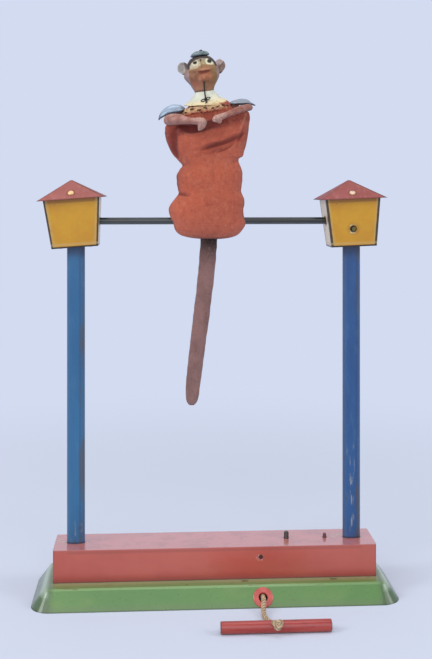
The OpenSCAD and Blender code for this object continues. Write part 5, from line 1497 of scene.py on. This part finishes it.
def make_tail():
    """A flattened felt tail with a seam down each side."""
    top = Vector((-0.3, 0, -6.02))
    path = smooth_path([top + Vector((x, 0, -t * TAIL_LEN)) for x, t in TAIL_ROUTE], 1.2)
    widths = [(t, w) for (_, t), w in zip(TAIL_ROUTE, TAIL_WIDTHS)]
    radii = [eased(widths, (top.z - p.z) / TAIL_LEN)[0] * TAIL_W / 2 for p in path]

    def shape(t, a):
        seam = 0.06 * exp(-((cos(a) ** 2 - 1) ** 2) / 0.004)
        return 1 - seam + 0.05 * wave(t * 26, cos(a) * 1.5, sin(a) * 1.5)

    make_piece("felt_tail", tube(path, radii, 28, TAIL_FLAT, shape), tail_felt(), ["tail"], FIGURE)


# Chin tie: from the lower lip to the collar; the bow's loops and ends are given from its knot
TIE_LINE = [
    (0.15, -9.9, 18.2), (0.1, -9.9, 17), (-0.05, -9.3, 15.2), (-0.2, -8.4, 13.2), (-0.3, -8.3, 11),
    (-0.3, -9.2, 8.8), (-0.45, -10.7, 6.9),
]
TIE_KNOT = Vector((-0.5, -11.0, 6.8))
TIE_BOW = [
    [(0, 0, 0), (-1.6, -0.1, 0.3), (-3.1, -0.6, -0.5), (-1.7, -0.8, -1.3), (0, 0, 0)],
    [(0, 0, 0), (1.4, -0.1, 1.0), (3.0, -0.2, 0.7), (1.5, -0.6, -0.3), (0, 0, 0)],
    [(0, 0, 0), (-0.2, -1.3, -1.5), (-0.7, -2.5, -2.9)],
    [(0, 0, 0), (0.5, -1.3, -1.4), (0.3, -2.2, -2.3)],
]


def make_tie():
    """Thread from the lower lip to the collar, tied in a small bow."""
    black = felt("black_thread", (44, 34, 30), (30, 25, 23), (78, 64, 56), 0.4)
    parts = [rope(TIE_LINE, 0.95, 2, 2.0, 0.4, 10)]
    parts += [rope([TIE_KNOT + Vector(p) for p in end], 0.6, 2, 2.0, 0.35, 8) for end in TIE_BOW]
    knot = [TIE_KNOT + Vector((0.5 * cos(i * pi / 5), -0.3, 0.7 * sin(i * pi / 5))) for i in range(11)]
    parts.append(rope(knot, 1.0, 2, 2.0, 0.3, 8))
    make_piece("chin_thread", join_parts(parts), black, ["chin_tie"], SHOULDER)


# ---------------------------------------------------------------- CAD nodes that keep their shape


def dress_nodes():
    """Gives the CAD nodes that show as they are their materials."""
    steel = metal("dark_steel", (150, 150, 150), (92, 84, 78), 0.38)
    brass = metal("brass", (196, 164, 96), (128, 98, 54), 0.3)
    for material, names in (
        (green_paint(), "plinth"),
        (red_paint(), "housing"),
        (plain_paint("eyelet_red", (200, 82, 68), (178, 66, 56), (104, 54, 46), 0.3, 4, 0.3), "cord_eyelet"),
        (blue_paint("blue_left", -POST_X, (66, 114, 156), (60, 104, 146), False), "left_post"),
        (blue_paint("blue_right", POST_X, (60, 98, 150), (52, 86, 132), True), "right_post"),
        (lantern_paint("left"), "left_lantern_body"),
        (lantern_paint("right"), "right_lantern_body"),
        (roof_paint("left", (168, 106, 102), (160, 98, 94)), "left_lantern_roof"),
        (roof_paint("right", (158, 94, 94), (150, 86, 84)), "right_lantern_roof"),
        (rivet_paint(), "roof_rivets"),
        (drawn_bar(), "crossbar"),
        (metal("anchor_steel", (96, 70, 66), (58, 40, 38), 0.45, size=1.5), "spring_anchor"),
        (metal("stud_steel", (98, 96, 92), (56, 54, 46), 0.35, size=2), "drum_arbor"),
        (metal("pin_brass", (112, 104, 64), (58, 52, 36), 0.4, size=1.5), "lantern_pin"),
        (plain_paint("dark_red_stud", (122, 62, 56), (92, 46, 42), (70, 56, 48), 0.35, 2, 0.2), "idler_arbor"),
        (steel, "post_sockets left_bracket right_bracket lantern_rivets mainspring click cord_drum"),
        (steel, "ratchet_wheel arbor_collar drive_shaft body_pin arm_rivets"),
        (brass, "movement_plate plate_pillars top_bushes left_bar_bushes right_bar_bushes shaft_bushes"),
        (brass, "bar_collar crown_wheel shaft_pinion crown_pinion idler_gear drive_gear"),
        (wood(), "body_core neck_peg"),
        (handle_paint(), "pull_handle"),
    ):
        for name in names.split():
            slots = nodes[name].data.materials
            if not slots:
                slots.append(material)
            for i in range(len(slots)):
                slots[i] = material
            dressed.add(name)


make_camera()
make_cords()
make_world()
make_floor()
make_lamps()
dress_nodes()
make_gown()
make_head()
make_ears()
make_cap()
make_collar()
make_arm("left")
make_arm("right")
make_plates()
make_tail()
make_tie()
scene.view_settings.view_transform = "Standard"
assert set(nodes) <= dressed, sorted(set(nodes) - dressed)
